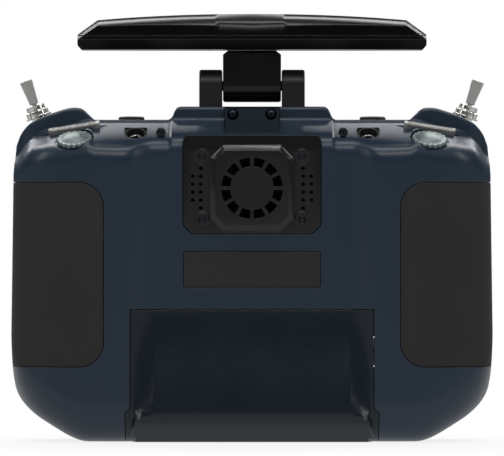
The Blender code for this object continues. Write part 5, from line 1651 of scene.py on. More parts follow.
@dataclass
class Antenna(Assembly):
    """The folding antenna: a wing in two shells on a hinged knuckle between two ears."""

    y: float = 3.0 * MM
    z: float = 141.7 * MM
    radius: float = 6.5 * MM
    arm_half: float = 11.6 * MM
    ear: float = 9.2 * MM
    pin: float = 2.0 * MM
    half: float = 69.7 * MM
    thickness: float = 14.3 * MM
    rise: float = 14.3 * MM
    depth: float = 24.0 * MM
    split: float = 0.39
    split_gap: float = 0.2 * MM
    column: float = 7.0 * MM

    def wing_section(self, x: float) -> list[Triple]:
        """Points round the wing, thinner and narrower towards its tips."""
        share = abs(x) / self.half
        crown = self.thickness * (1 - 0.22 * share**2.2)
        if abs(x) > self.half - 8 * MM:
            crown -= (abs(x) - (self.half - 8 * MM)) * 0.62
        half = self.depth / 2 * (1 - 0.25 * share**2)
        edge, brow = crown - 2.6 * MM * (1 - 0.7 * share), crown - 5.4 * MM * (1 - 0.6 * share)
        waist = 0.28 * self.thickness
        points = [
            (3 * MM - half, 0), (-half, waist), (-half + 0.5 * MM, brow), (-half + 2.4 * MM, edge),
            (-half + 6 * MM, crown), (half - 6 * MM, crown), (half - 2.4 * MM, edge), (half - 0.5 * MM, brow),
            (half, waist), (half - 3 * MM, 0),
        ]
        return [(x, self.y + a, self.z + self.rise + b) for a, b in points]

    def wing(self, name: str) -> Solid:
        """The whole wing before it is split."""
        stations = spread_out([(0, 60, 24), (60, 61.7, 2), (61.7, 69.3, 8), (69.3, 69.7, 1)])
        return Workshop.loft(name, [self.wing_section(x) for x in stations], rounding=0.35 * MM)

    def build_wing(self) -> None:
        """Builds the wing's lower shell and lid with the seam between them."""
        seam = self.z + self.rise + self.split * self.thickness
        reach = rounded_box(4 * self.half, 4 * self.depth, MM, 2)
        above = Workshop.slab("above", reach, seam - self.split_gap / 2, seam + 40 * MM, Axis.Z)
        below = Workshop.slab("below", reach, seam - 40 * MM, seam + self.split_gap / 2, Axis.Z)
        corners = []
        for side in Side:
            tip, low = side.value * self.half, self.z + self.rise
            shape = [(tip - side.value * 1.6 * MM, low - MM), (tip + side.value * MM, low - MM)]
            shape += [(tip + side.value * MM, low + 2.8 * MM), (tip - side.value * 1.6 * MM, low - 0.05 * MM)]
            corners.append(Workshop.slab("corner", shape, -20 * MM, 30 * MM))
        blade = Workshop.carve(self.wing("antenna_wing_lower"), [above, *corners])
        lid = Workshop.carve(self.wing("antenna_wing_lid"), [below])
        self.keep(blade, self.looks.antenna, "antenna", "antenna_blade")
        self.keep(lid, self.looks.antenna, "antenna", "antenna_lid")

    def build_knuckle(self) -> None:
        """Builds the hinged knuckle and the round column in it."""
        top = self.rise - SHAPE.gap
        y, z = self.y, self.z
        half, chamfer = self.arm_half, 2.4 * MM
        hook = [
            (y + self.radius * math.cos(a), z + self.radius * math.sin(a))
            for a in np.linspace(math.pi, 2 * math.pi, 33)
        ]
        hook += [(y + self.radius, z + top), (y - self.radius, z + top)]
        knuckle = Workshop.slab("antenna_knuckle", hook, -half, half, Axis.X, 0.9 * MM)
        corners = []
        for side in Side:
            inner, outer = side.value * (half - chamfer - MM), side.value * (half + MM)
            shape = [(inner, z + top + MM), (outer, z + top - chamfer), (outer, z + top + MM)]
            corners.append(Workshop.slab("corner", shape, y - 10 * MM, y + 10 * MM))
        Workshop.carve(knuckle, corners)
        column = Workshop.lathe(
            "column",
            [
                (0, 3.0 * MM), (self.column, 3.0 * MM), (self.column, top - 1.1 * MM),
                (self.column - 0.8 * MM, top - 0.3 * MM), (0, top - 0.3 * MM),
            ],
            96,
        )
        Workshop.carve(knuckle, [Workshop.place(column, (0, y, z))], "UNION")
        bore = Workshop.rod("bore", self.pin + SHAPE.gap, (-15 * MM, y, z), (15 * MM, y, z))
        Workshop.carve(knuckle, [bore])
        self.keep(knuckle, self.looks.antenna, "antenna", "antenna_arm")

    def build_bracket(self) -> None:
        """Builds the bracket with its two ears, and the pin through them."""
        y, z = self.y, self.z
        low = SHAPE.top - 5.7 * MM
        reach = self.arm_half + SHAPE.gap + self.ear
        bar = Workshop.slab(
            "hinge_bracket_moulding", rounded_box(2 * reach, 2 * self.radius, 0.8 * MM, 4, (0, y)), low,
            low + 4.4 * MM, Axis.Z
        )
        arch = [(y - self.radius, low + 0.2 * MM), (y + self.radius, low + 0.2 * MM)]
        arch += [
            (y + self.radius * math.cos(a), z + self.radius * math.sin(a))
            for a in np.linspace(0, math.pi, 25)
        ]
        ears = []
        for side in Side:
            inner = side.value * (self.arm_half + SHAPE.gap)
            outer = inner + side.value * self.ear
            ears.append(Workshop.slab("ear", arch, min(inner, outer), max(inner, outer), Axis.X, 0.9 * MM))
        Workshop.carve(bar, ears, "UNION")
        bore = Workshop.rod("bore", self.pin + SHAPE.gap, (-reach - MM, y, z), (reach + MM, y, z))
        seats = [
            Workshop.rod(
                "seat", 3.6 * MM, (s.value * (reach - 0.5 * MM), y, z), (s.value * (reach + MM), y, z),
            )
            for s in Side
        ]
        Workshop.carve(bar, [bore, *seats])
        self.keep(bar, self.looks.bracket, "case", "hinge_bracket")
        length = reach - 0.4 * MM
        pin = Workshop.rod("hinge_pin_turned", self.pin, (-length, y, z), (length, y, z))
        sockets = [
            Workshop.rod(
                "hex", 1.1 * MM, (s.value * (length - 1.5 * MM), y, z), (s.value * (length + MM), y, z), 6,
            )
            for s in Side
        ]
        Workshop.carve(pin, sockets)
        self.keep(pin, self.looks.screw, "case", "hinge_pin")

    def build(self) -> None:
        """Builds the antenna and what carries it."""
        self.build_wing()
        self.build_knuckle()
        self.build_bracket()


# ---------------------------------------------------------------- top and shoulder controls


@dataclass
class PushButtons(Assembly):
    """The two domed push buttons on the deck."""

    x: float = 48.3 * MM
    y: float = 4.0 * MM
    hole: float = 5.5 * MM
    radius: float = 5.2 * MM
    proud: float = 1.5 * MM

    def build(self) -> None:
        """Builds both buttons."""
        r, p = self.radius, self.proud
        profile = [
            (0, p), (0.55 * r, 0.99 * p), (0.82 * r, 0.95 * p), (0.93 * r, 0.86 * p), (0.985 * r, 0.68 * p),
            (r, 0.4 * p), (r, 0),
            (r, -3.6 * MM), (r + MM, -3.6 * MM), (r + MM, -5.1 * MM), (0, -5.1 * MM),
        ]
        for side in Side:
            button = Workshop.lathe(f"push_button_cap_{side.label}", profile, 64)
            Workshop.place(button, (side.value * self.x, self.y, SHAPE.deck))
            self.keep(button, self.looks.key, f"push_button_{side.label}", f"push_button_{side.label}")


@dataclass
class Dials(Assembly):
    """The two turned dials on the shoulders, domed, with lobes round their rims."""

    inset: float = 26.0 * MM
    y: float = -18.9 * MM
    radius: float = 7.15 * MM
    well: float = 7.75 * MM
    bore: float = 3.3 * MM
    lobes: int = 18
    lobe_depth: float = 0.75 * MM
    tilt: float = 5.0

    def rim(self, radius: float, angle: float) -> float:
        """The radius at an angle: lobed at the rim and round inside it."""
        if radius < 0.85 * self.radius:
            return radius
        return radius - self.lobe_depth * (1 - abs(math.cos(self.lobes * angle / 2)))

    def build(self) -> None:
        """Builds both dials on their joints."""
        points = [
            (0, 2.35), (1.3, 2.31), (2.5, 2.16), (3.6, 1.88), (4.5, 1.50), (5.2, 1.08), (5.6, 0.82),
            (6.0, 0.74),
            (6.6, 0.72), (6.95, 0.62), (7.15, 0.3), (7.15, -0.5), (6.9, -0.9), (3.0, -0.9), (3.0, -7.0),
            (0, -7.0),
        ]
        profile = in_metres(points)
        for side in Side:
            dial = Workshop.lathe(f"dial_turned_{side.label}", profile, 216, self.rim)
            mark = Workshop.slab(
                "mark", rounded_box(2.4 * MM, 0.6 * MM, 0.25 * MM, 3, (3.4 * MM, 0)), 1.6 * MM, 4 * MM,
                Axis.Z,
            )
            Workshop.carve(dial, [mark])
            at = joint(f"dial_{side.label}_turn")["pos_m"]
            Workshop.place(dial, at, across(SHAPE.shoulder_normal(side, self.tilt)))
            self.keep(dial, self.looks.dial, f"dial_{side.label}", f"dial_{side.label}")


@dataclass
class Sliders(Assembly):
    """The two knurled slide bars on the shoulders."""

    length: float = 20.6 * MM
    width: float = 2.2 * MM
    height: float = 2.6 * MM
    travel: float = 4.0 * MM
    sink: float = 0.8 * MM
    x: float = 70.6 * MM
    y: float = -10.6 * MM
    tilt: float = 9.0

    @classmethod
    def turn(cls, side: Side) -> Quaternion:
        """Local X runs along the shoulder and local Z away from it."""
        normal = SHAPE.shoulder_normal(side, cls.tilt)
        along = Vector((1, 0, -side.value * math.tan(math.radians(cls.tilt)))).normalized()
        return Matrix((along, normal.cross(along), normal)).transposed().to_quaternion()

    def bar(self, name: str, low: float, high: float, grow: float) -> Solid:
        """A length of the bar's section along local X."""
        shape = rounded_box(
            self.width + grow, self.height + grow / 2, 0.45 * MM, 4, (0, self.height / 2 - self.sink),
        )
        return Workshop.slab(name, shape, low, high, Axis.X, 0.25 * MM)

    def build(self) -> None:
        """Builds both bars, each with a stem and a cap at its inner end in a lighter finish that paints the
        highlight on the bar's end.
        """
        for side in Side:
            at = SHAPE.on_shoulder(side.value * self.x, self.y)
            half = self.length / 2
            inner = -side.value * half
            bar = self.bar(f"slide_bar_{side.label}", -half, half, 0.4 * MM)
            grooves = []
            for k in range(23):
                x = -half + 1.6 * MM + k * 0.8 * MM
                shape = rounded_box(0.34 * MM, 6 * MM, 0.1 * MM, 2, (x, 0))
                grooves.append(
                    Workshop.slab("groove", shape, self.height - self.sink - 0.4 * MM, 4 * MM, Axis.Z)
                )
            Workshop.carve(bar, grooves)
            stem = Workshop.slab(
                "stem", rounded_box(4 * MM, 1.6 * MM, 0.5 * MM, 3), -5.2 * MM, 0.8 * MM, Axis.Z,
            )
            Workshop.carve(bar, [stem], "UNION")
            Workshop.place(bar, at, self.turn(side))
            self.keep(bar, self.looks.slider, f"slider_{side.label}", f"slider_{side.label}")
            # The cap's lighter finish is a painted highlight: the light falling on the bar's squared inner
            # end.
            ends = sorted((inner, inner + side.value * 1.5 * MM))
            cap = self.bar(f"slide_bar_cap_{side.label}", *ends, 0.5 * MM)
            Workshop.place(cap, at, self.turn(side))
            self.keep(cap, self.looks.lever, f"slider_{side.label}")


@dataclass
class ToggleSwitches(Assembly):
    """Four toggle switches with castellated dress nuts and flat flared levers."""

    tip: float = 15.8 * MM
    pivot: float = 1.0 * MM
    hole: float = 3.3 * MM
    inset: float = 11.2 * MM
    lean: float = math.radians(20)
    front_x: float = 33.0 * MM
    front_drop: float = 15.0 * MM

    @classmethod
    def shoulder_place(cls, side: Side) -> Vector:
        """Where a shoulder switch stands on the ridge."""
        x = SHAPE.half - cls.inset
        return Vector((side.value * x, 3 * MM, SHAPE.top_line()(x)))

    @classmethod
    def shoulder_turn(cls, side: Side) -> Quaternion:
        """The lean of a shoulder switch."""
        return Matrix.Rotation(side.value * cls.lean, 4, "Y").to_quaternion()

    def nut(self) -> list[Solid]:
        """A washer, a castellated nut and the slotted crown over it."""
        def notches(radius: float, angle: float) -> float:
            """Cuts ten notches into the widest part."""
            return radius - (0.55 * MM if radius > 4.2 * MM and math.cos(10 * angle) < -0.45 else 0)

        def slots(radius: float, angle: float) -> float:
            """Cuts six slots into the crown's upper part."""
            return radius - (0.9 * MM if radius > 3.0 * MM and math.cos(6 * angle) < -0.72 else 0)

        washer = Workshop.lathe(
            "washer",
            [(2.5 * MM, 0.9 * MM), (5.2 * MM, 0.9 * MM), (5.2 * MM, 0.35 * MM), (2.5 * MM, 0.35 * MM)], 64,
            rounding=0.12 * MM,
        )
        body = [(2.4, 3.1), (4.05, 3.1), (4.45, 2.8), (4.55, 2.5), (4.55, 1.1), (4.35, 0.8), (2.4, 0.8)]
        ring = Workshop.lathe("nut", in_metres(body), 240, notches)
        crown = [(2.55, 5.2), (3.45, 5.2), (3.75, 4.9), (3.75, 3.4), (3.4, 3.0), (2.4, 3.0), (2.4, 4.4)]
        top = Workshop.lathe("crown", in_metres(crown), 240, slots)
        return [washer, ring, top]

    def case(self) -> Solid:
        """The switch's box under the panel and its bushing."""
        box = Workshop.slab(
            "box", rounded_box(6.6 * MM, 9 * MM, 0.6 * MM, 3), -13.0 * MM, -5.4 * MM, Axis.Z, 0.3 * MM,
        )
        profile = [(2.5, 5.0), (3.0, 4.7), (3.0, -5.8), (0, -5.8), (0, -1.6), (1.5, -1.5)]
        bushing = Workshop.lathe("bushing", in_metres(profile), 48)
        return gather("both", [box, bushing])

    def lever(self, name: str) -> Solid:
        """A flat lever, flared towards its tip, on a round shank."""
        low, high = 5.9 * MM - self.pivot, self.tip - self.pivot
        stops = [
            (0.0, 0.92, 0.85), (0.05, 1.0, 1.0), (0.3, 1.0, 1.0), (0.6, 1.0, 1.0), (0.93, 1.0, 1.0),
            (0.98, 0.97, 0.9), (1.0, 0.90, 0.72),
        ]
        layers = []
        for share, wide, thick in stops:
            width = (3.6 + (5.2 - 3.6) * share**1.15) * MM * wide
            depth = (2.0 + 0.4 * share) * MM * thick
            layers.append((low + (high - low) * share, rounded_box(width, depth, 0.42 * depth, 5)))
        flat = Workshop.stack(name, layers, Axis.Z)
        shank = Workshop.lathe(
            "shank",
            [
                (0, -1.2 * MM), (0.9 * MM, -1.0 * MM), (0.9 * MM, low - 0.2 * MM),
                (1.15 * MM, low + 0.6 * MM), (0, low + MM),
            ],
            32
        )
        return gather(name, [flat, shank])

    def fit(self, name: str, at: Vector, turn: Quaternion, body: str) -> None:
        """Builds one switch."""
        switch = gather(f"{name}_set", [self.case(), *self.nut()])
        Workshop.place(switch, at, turn)
        self.keep(switch, self.looks.chrome, "case", f"{name}_switch")
        lever = self.lever(f"{name}_bat")
        Workshop.place(lever, at + turn @ Vector((0, 0, self.pivot)), turn)
        self.keep(lever, self.looks.lever, body, f"{name}_lever")

    def build(self) -> None:
        """Builds the shoulder and front switches."""
        for side in Side:
            self.fit(
                f"shoulder_toggle_{side.label}", self.shoulder_place(side), self.shoulder_turn(side),
                f"shoulder_lever_{side.label}",
            )
            at = Vector((side.value * self.front_x, SHAPE.front_depth, SHAPE.top - self.front_drop))
            self.fit(f"front_toggle_{side.label}", at, TO_FRONT, f"front_lever_{side.label}")


@dataclass
class Jacks(Assembly):
    """The two round jacks in the shoulders' tilted ports."""

    x: float = 46.2 * MM
    y: float = -16.4 * MM
    port: float = 4.3 * MM
    radius: float = 4.5 * MM
    tilt: float = math.radians(37)

    @classmethod
    def seat(cls, side: Side) -> Vector:
        """Where a port meets the shoulder."""
        return SHAPE.on_shoulder(side.value * cls.x, cls.y)

    @classmethod
    def axis(cls) -> Vector:
        """The direction out of a port."""
        return Vector((0, -math.sin(cls.tilt), math.cos(cls.tilt)))

    @classmethod
    def turn(cls) -> Quaternion:
        """The lean of a port's mouth."""
        return Matrix.Rotation(cls.tilt, 4, "X").to_quaternion()

    @classmethod
    def mouth(cls, inset: float) -> list[Pair]:
        """The port's mouth: round below and flat above."""
        r = cls.radius - inset
        flat = 4.4 * MM - inset
        arc = [(r * math.cos(a), r * math.sin(a)) for a in np.linspace(math.pi, 2 * math.pi, 25)]
        return arc + [(r, flat - 0.4 * MM), (r - 0.4 * MM, flat), (0.4 * MM - r, flat), (-r, flat - 0.4 * MM)]

    def build(self) -> None:
        """Builds both jacks."""
        lean = self.axis()
        for side, name in ((Side.LEFT, "trainer_jack"), (Side.RIGHT, "audio_jack")):
            at = self.seat(side)
            barrel = [
                (0, -9), (4.2, -9), (4.2, -1.2), (3.7, -1.2), (3.7, -4.4), (1.8, -4.4), (1.8, -7.5),
                (0, -7.5),
            ]
            sleeve = Workshop.lathe(f"{name}_sleeve", in_metres(barrel), 64)
            Workshop.place(sleeve, at, across(lean))
            self.keep(sleeve, self.looks.bracket, "case", name)
            # The near-black collar is partly the jack's black plastic and partly painted shade for the port's
            # deep opening.
            collar_and_shade = Workshop.slab(f"{name}_collar", self.mouth(0.05 * MM), -2.3 * MM, -1.3 * MM, Axis.Z)
            Workshop.carve(collar_and_shade, [Workshop.rod("hole", 3.75 * MM, (0, 0, -4 * MM), (0, 0, 0))])
            Workshop.place(collar_and_shade, at, self.turn())
            self.keep(collar_and_shade, self.looks.antenna, "case")
            lip = [(1.8, -3.3), (2.7, -3.3), (3.2, -3.7), (3.2, -4.4), (1.8, -4.4)]
            ring = Workshop.lathe(f"{name}_ring", in_metres(lip), 64, rounding=0.08 * MM)
            Workshop.place(ring, at, across(lean))
            self.keep(ring, self.looks.chrome, "case")


# ---------------------------------------------------------------- gimbals and front controls


@dataclass
class Gimbals(Assembly):
    """The two stick gimbals: bezels, domes and sticks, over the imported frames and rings."""

    dome: float = 19.0 * MM
    opening: float = 20.0 * MM
    reach: float = 44.0 * MM
    hub: float = 5.0 * MM

    def build_side(self, side: Side) -> None:
        """Builds one gimbal.

        Args:
            side: The side of the case.
        """
        label = side.label
        at = Vector(joint(f"gimbal_{label}_tilt")["pos_m"])
        body = f"gimbal_stick_{label}"
        up = TO_FRONT
        angles = [math.radians(58 * k / 14) for k in range(15)]
        outer = [(self.dome * math.sin(a), self.dome * math.cos(a)) for a in angles]
        inner_radius = self.dome - 1.2 * MM
        inner = [(inner_radius * math.sin(a), inner_radius * math.cos(a)) for a in reversed(angles)]
        shell = Workshop.lathe(f"gimbal_dome_{label}", outer + inner, 96, rounding=0.2 * MM)
        hub = Workshop.rod("hub", self.hub, (0, 0, -6 * MM), (0, 0, self.dome - 0.7 * MM))
        axle = Workshop.rod("axle", 1.3 * MM, (0, 16.4 * MM, 0), (0, -16.4 * MM, 0), 24)
        steps = [
            Workshop.rod("step", r * MM, (0, 0, 17.8 * MM), (0, 0, h * MM), 64) for r,
            h in ((6.4, 18.9), (5.2, 19.6))
        ]
        Workshop.carve(shell, [hub, axle, *steps], "UNION")
        Workshop.place(shell, at, up)
        self.keep(shell, self.looks.dome, body)
        self.keep(self.shaft(f"gimbal_stick_turned_{label}", at, up), self.looks.stick, body, body)
        bezel_profile = [(20.0, 0.0), (20.0, 0.55), (20.6, 1.0), (22.6, 1.0), (23.4, 0.45), (23.4, 0.0)]
        bezel = Workshop.lathe(f"gimbal_bezel_{label}", in_metres(bezel_profile), 128)
        Workshop.place(bezel, (at.x, SHAPE.front_depth, at.z), up)
        self.keep(bezel, self.looks.bracket, "case")

    def shaft(self, name: str, at: Vector, up: Quaternion) -> Solid:
        """The turned stick with a serrated and grooved tip.

        Args:
            name: The object's name.
            at: The pivot.
            up: The turn that takes local Z to the stick's axis.

        Returns:
            The stick, in place.
        """
        r = self.reach / MM
        profile = [(0, r - 0.6), (1.3, r - 0.6), (1.7, r), (2.6, r), (3.3, r - 0.8)]
        for k in range(5):
            h = r - 1.3 - k * 1.5
            profile += [(3.4, h), (3.4, h - 0.9), (3.0, h - 1.05), (3.0, h - 1.35)]
        profile += [
            (3.4, r - 9.0), (2.9, r - 9.7), (2.0, r - 10.2), (2.0, r - 13), (2.35, r - 13.3),
            (2.35, r - 15.3), (2.0, r - 15.6),
        ]
        profile += [(2.0, 20.6), (3.0, 20.4), (3.2, 19.9), (3.2, 9), (0, 9)]

        def serrated(radius: float, angle: float) -> float:
            """Cuts fine serrations into the widest part."""
            return radius - (0.22 * MM * (0.5 - 0.5 * math.cos(24 * angle)) if radius > 3.35 * MM else 0)

        return Workshop.place(Workshop.lathe(name, in_metres(profile), 192, serrated), at, up)

    def build(self) -> None:
        """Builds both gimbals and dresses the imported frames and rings."""
        for side in Side:
            self.build_side(side)
            self.dress(self.looks.gimbal, f"gimbal_frame_{side.label}", f"gimbal_ring_{side.label}")


@dataclass
class FrontControls(Assembly):
    """Keys, power button, trims, roller, strap eye and display on the front face."""

    pane: Pair = (76.0 * MM, 52.0 * MM)
    pane_z: float = 48.0 * MM
    strap_z: float = 101.0 * MM
    key_width: float = 11.0 * MM
    key_height: float = 6.0 * MM

    @staticmethod
    def middle(node: str) -> Pair:
        """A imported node's middle as seen on the face, in x and z."""
        low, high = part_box(node)
        return ((low.x + high.x) / 2, (low.z + high.z) / 2)

    @classmethod
    def openings(cls) -> list[list[Pair]]:
        """The outline of each opening in the front face."""
        shapes = []
        for side in Side:
            label = side.label
            pivot = joint(f"gimbal_{label}_tilt")["pos_m"]
            shapes.append(disc(Gimbals.opening, 96, (pivot[0], pivot[2])))
            switch = (side.value * ToggleSwitches.front_x, SHAPE.top - ToggleSwitches.front_drop)
            shapes.append(disc(ToggleSwitches.hole, 32, switch))
            shapes.append(rounded_box(4.2 * MM, 9.6 * MM, 0.8 * MM, 4, cls.middle(f"trim_{label}_upright")))
            shapes.append(rounded_box(9.6 * MM, 4.2 * MM, 0.8 * MM, 4, cls.middle(f"trim_{label}_level")))
            for row in ("upper", "lower"):
                shapes.append(rounded_box(11.6 * MM, 6.6 * MM, 1.5 * MM, 4, cls.middle(f"key_{label}_{row}")))
        shapes.append(disc(6.3 * MM, 64, cls.middle("power_button")))
        shapes.append(rounded_box(6.6 * MM, 12.6 * MM, 0.8 * MM, 4, cls.middle("roller")))
        x, z = cls.middle("speaker")
        for row in (-1, 0, 1):
            shapes.append(rounded_box(11 * MM, 1.6 * MM, 0.7 * MM, 4, (x, z + row * 3.4 * MM)))
        return shapes

    @property
    def inner(self) -> float:
        """The y value of the front wall's inner face."""
        return SHAPE.front_depth - SHAPE.wall

    def build_keys(self) -> None:
        """Builds the four menu keys and the power button."""
        low, high = self.inner - 0.9 * MM, self.inner + 4.2 * MM
        for side in Side:
            for row in ("upper", "lower"):
                name = f"key_{side.label}_{row}"
                centre = self.middle(name)
                layers = [(low, 0.0), (high - 0.75 * MM, 0.0), (high - 0.3 * MM, 0.25), (high, 0.8)]
                shapes = [
                    (
                        y,
                        rounded_box(
                            self.key_width - 2 * s * MM, self.key_height - 2 * s * MM, (1.5 - 0.3 * s) * MM,
                            6, centre,
                        ),
                    )
                    for y, s in layers
                ]
                key = Workshop.stack(f"{name}_cap", shapes, Axis.Y)
                flange = Workshop.slab(
                    "flange",
                    rounded_box(self.key_width + 2 * MM, self.key_height + 2 * MM, 1.5 * MM, 4, centre),
                    self.inner - 1.5 * MM, self.inner - 0.3 * MM,
                )
                dish = Workshop.slab(
                    "dish", rounded_box(6.4 * MM, 0.9 * MM, 0.4 * MM, 4, centre), high - 0.25 * MM, high + MM,
                )
                Workshop.carve(key, [flange], "UNION")
                Workshop.carve(key, [dish])
                self.keep(key, self.looks.key, name, name)
        x, z = self.middle("power_button")
        profile = [
            (0, 3.7), (3.2, 3.8), (4.3, 4.15), (5.2, 4.2), (5.75, 4.0), (6.0, 3.5), (6.0, -0.6), (7.0, -0.6),
            (7.0, -1.5), (0, -1.5),
        ]
        power = Workshop.lathe("power_button_cap", in_metres(profile), 96)
        Workshop.place(power, (x, self.inner, z), TO_FRONT)
        self.keep(power, self.looks.stick, "power_button", "power_button")

    def build_trims(self) -> None:
        """Builds the four ribbed trim levers."""
        for side in Side:
            for way in ("upright", "level"):
                name = f"trim_{side.label}_{way}"
                centre = self.middle(name)
                upright = way == "upright"
                size = (3.6 * MM, 6 * MM) if upright else (6 * MM, 3.6 * MM)
                top = self.inner + 5.2 * MM
                lever = Workshop.slab(
                    f"{name}_lever", rounded_box(*size, 0.7 * MM, 4, centre), self.inner - MM, top,
                    rounding=0.4 * MM,
                )
                plate = (
                    size[0] + 1.6 * MM, size[1] + 5.4 * MM,
                ) if upright else (size[0] + 5.4 * MM, size[1] + 1.6 * MM)
                flange = Workshop.slab(
                    "flange", rounded_box(*plate, 0.5 * MM, 3, centre), self.inner - 1.5 * MM,
                    self.inner - 0.3 * MM,
                )
                Workshop.carve(lever, [flange], "UNION")
                grooves = []
                for k in (-1, 0, 1):
                    place = (
                        centre[0], centre[1] + k * 1.5 * MM,
                    ) if upright else (centre[0] + k * 1.5 * MM, centre[1])
                    cut = (6 * MM, 0.5 * MM) if upright else (0.5 * MM, 6 * MM)
                    grooves.append(
                        Workshop.slab(
                            "groove", rounded_box(*cut, 0.2 * MM, 3, place), top - 0.5 * MM, top + MM,
                        )
                    )
                Workshop.carve(lever, grooves)
                self.keep(lever, self.looks.lever, name, name)

    def build_roller(self) -> None:
        """Builds the serrated roller on its axle."""
        def serrated(radius: float, angle: float) -> float:
            """Cuts serrations into the rim."""
            return radius - (0.5 * MM * (0.5 - 0.5 * math.cos(30 * angle)) if radius > 5.9 * MM else 0)

        profile = [
            (0, 5.2), (1, 5.2), (1, 3.0), (5.5, 3.0), (6.0, 2.5), (6.0, -2.5), (5.5, -3.0), (1, -3.0),
            (1, -5.2), (0, -5.2),
        ]
        roller = Workshop.lathe("roller_turned", in_metres(profile), 240, serrated)
        Workshop.place(roller, joint("roller_spin")["pos_m"], across((1, 0, 0)))
        self.keep(roller, self.looks.stick, "roller", "roller")

    def build_strap_eye(self) -> None:
        """Builds the neck strap's eyelet."""
        y, z = SHAPE.front_depth + SHAPE.gap, self.strap_z
        outer = rounded_box(16 * MM, 12 * MM, 4.5 * MM, 10, (0, y + 5.5 * MM))
        inner = rounded_box(10 * MM, 6.6 * MM, 3 * MM, 10, (0, y + 5.5 * MM))
        eye = Workshop.slab("strap_eye_pressing", outer, z - 1.1 * MM, z + 1.1 * MM, Axis.Z, 0.35 * MM)
        room = Workshop.slab(
            "flush", rounded_box(30 * MM, 6 * MM, MM, 2, (0, y - 3 * MM)), z - 3 * MM, z + 3 * MM, Axis.Z,
        )
        Workshop.carve(eye, [Workshop.slab("hole", inner, z - 3 * MM, z + 3 * MM, Axis.Z), room])
        foot = Workshop.slab(
            "foot", rounded_box(14 * MM, 6 * MM, 1.2 * MM, 5, (0, z)), y, y + 1.4 * MM, rounding=0.3 * MM,
        )
        Workshop.carve(eye, [foot], "UNION")
        self.keep(eye, self.looks.chrome, "case", "strap_eye")

    def build_display(self) -> None:
        """Builds the display's glass and dresses what lies behind it."""
        face = SHAPE.front_depth
        glass = Workshop.slab(
            "display_glass_pane", rounded_box(*self.pane, 2 * MM, 8, (0, self.pane_z)), face - 1.4 * MM, face,
            rounding=0.35 * MM,
        )
        self.keep(glass, self.looks.glass, "case", "display_lens")
        self.dress(self.looks.screen, "display_module")
        self.dress(self.looks.board, "main_board")
        self.dress(self.looks.bracket, "speaker", "battery_tray")
        self.dress(self.looks.wrap, "battery_cell_lower", "battery_cell_upper")

    def build(self) -> None:
        """Builds everything on the front face."""
        self.build_keys()
        self.build_trims()
        self.build_roller()
        self.build_strap_eye()
        self.build_display()


# ---------------------------------------------------------------- studio


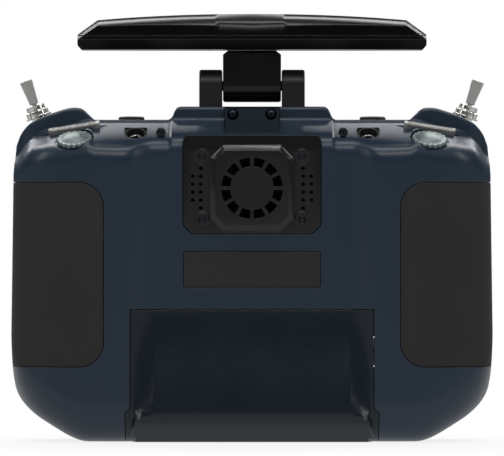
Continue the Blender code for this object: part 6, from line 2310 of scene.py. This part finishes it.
@dataclass
class Studio:
    """A pale floor, soft lights and the camera."""

    distance: float = 2.2
    width: float = 201.6 * MM
    aim_z: float = 84.8 * MM
    backdrop: float = 1.0
    ambient: float = 0.05
    table_glow: float = 0.58

    @staticmethod
    def blend(tree: Tree, mask: Socket, under: bpy.types.Node, over: bpy.types.Node) -> bpy.types.Node:
        """Mixes two shaders by a mask socket."""
        mix = tree.nodes.new("ShaderNodeMixShader")
        for socket, output in zip(mix.inputs, (mask, under.outputs[0], over.outputs[0])):
            tree.links.new(output, socket)
        return mix

    def light(self, name: str, at: Triple, size: Pair, power: float, aim: Triple = (0, 0, 0.08)) -> None:
        """Adds a soft rectangular light."""
        data = bpy.data.lights.new(name, "AREA")
        data.shape = "RECTANGLE"
        data.size, data.size_y = size
        data.energy = power
        lamp = put(bpy.data.objects.new(name, data))
        lamp.location = at
        lamp.rotation_euler = (Vector(aim) - Vector(at)).to_track_quat("-Z", "Y").to_euler()
        lamp.visible_camera = False

    def build_world(self) -> None:
        """A white backdrop for the camera and a dim room for the light."""
        world = bpy.data.worlds.new("studio")
        bpy.context.scene.world = world
        world.use_nodes = True
        tree = world.node_tree
        tree.nodes.clear()
        path = tree.nodes.new("ShaderNodeLightPath")
        room, white = tree.nodes.new("ShaderNodeBackground"), tree.nodes.new("ShaderNodeBackground")
        room.inputs["Color"].default_value = (1, 1, 1, 1)
        room.inputs["Strength"].default_value = self.ambient
        white.inputs["Color"].default_value = (1, 1, 1, 1)
        white.inputs["Strength"].default_value = self.backdrop
        mix = self.blend(tree, path.outputs["Is Camera Ray"], room, white)
        tree.links.new(mix.outputs[0], tree.nodes.new("ShaderNodeOutputWorld").inputs["Surface"])

    def build_floor(self) -> None:
        """A wide disc that runs into the backdrop without a horizon."""
        rim = 9.0
        bm = bmesh.new()
        bmesh.ops.create_circle(bm, cap_ends=True, radius=rim, segments=96)
        mesh = bpy.data.meshes.new("floor")
        bm.to_mesh(mesh)
        bm.free()
        floor = put(bpy.data.objects.new("floor", mesh))
        floor.location = (0, 0, -0.0002)
        material = bpy.data.materials.new("pale_floor")
        material.use_nodes = True
        tree = material.node_tree
        tree.nodes.clear()
        diffuse, glow = tree.nodes.new("ShaderNodeBsdfDiffuse"), tree.nodes.new("ShaderNodeEmission")
        diffuse.inputs["Color"].default_value = (0.82, 0.82, 0.82, 1)
        glow.inputs["Strength"].default_value = self.backdrop
        where = tree.nodes.new("ShaderNodeTexCoord")
        length = tree.nodes.new("ShaderNodeVectorMath")
        length.operation = "LENGTH"
        tree.links.new(where.outputs["Object"], length.inputs[0])
        fade = tree.nodes.new("ShaderNodeMapRange")
        for key, value in (("From Min", 0.05), ("From Max", 0.5), ("To Min", 0.82), ("To Max", 1.0)):
            fade.inputs[key].default_value = value
        tree.links.new(length.outputs["Value"], fade.inputs["Value"])
        path = tree.nodes.new("ShaderNodeLightPath")
        seen = tree.nodes.new("ShaderNodeMath")
        seen.operation = "MULTIPLY"
        tree.links.new(fade.outputs[0], seen.inputs[0])
        tree.links.new(path.outputs["Is Camera Ray"], seen.inputs[1])
        table = tree.nodes.new("ShaderNodeEmission")
        table.inputs["Strength"].default_value = self.table_glow
        bounce = self.blend(tree, path.outputs["Is Camera Ray"], table, diffuse)
        mix = self.blend(tree, seen.outputs[0], bounce, glow)
        tree.links.new(mix.outputs[0], tree.nodes.new("ShaderNodeOutputMaterial").inputs["Surface"])
        mesh.materials.append(material)

    def build_camera(self) -> None:
        """A long lens, level with the case, square to its rear face."""
        data = bpy.data.cameras.new("camera")
        data.sensor_width = 36
        data.lens = 36 * self.distance / self.width
        data.clip_end = 50
        camera = put(bpy.data.objects.new("camera", data))
        camera.location = (0, -self.distance, self.aim_z)
        camera.rotation_euler = (math.pi / 2, 0, 0)
        bpy.context.scene.camera = camera

    def build(self) -> None:
        """Builds the studio."""
        bpy.context.scene.view_settings.view_transform = "Standard"
        self.build_world()
        self.build_floor()
        self.build_camera()
        self.light("overhead", (0, 0.51, 1.0), (1.6, 0.38), 13)
        self.light("overhead_strip", (0, -0.29, 1.4), (1.0, 0.16), 4.5)
        self.light("rear_fill", (0, -1.45, 1.65), (1.5, 0.4), 9.2)
        for side in Side:
            self.light(f"side_{side.label}", (1.5 * side.value, -0.5, 1.0), (0.3, 0.9), 4)
        for side in Side:
            self.light(f"front_{side.label}", (1.0 * side.value, 1.35, 1.0), (0.4, 0.6), 4.5)


def main() -> None:
    """Builds the studio and the transmitter."""
    logging.basicConfig(level=logging.INFO, format="%(name)s: %(message)s")
    Studio().build()
    finisher = Finisher()
    grips, fan, door = Grips(finisher), FanUnit(finisher), BatteryDoor(finisher)
    shell = CaseShell(finisher)
    shell.build_rear(grips, fan, door)
    assemblies = [
        shell, grips, fan, door, Antenna(finisher), PushButtons(finisher), Dials(finisher), Sliders(finisher),
        ToggleSwitches(finisher), Jacks(finisher), Gimbals(finisher), FrontControls(finisher),
    ]
    for assembly in assemblies:
        assembly.build()
        assembly.report()


if __name__ == "__main__":
    main()
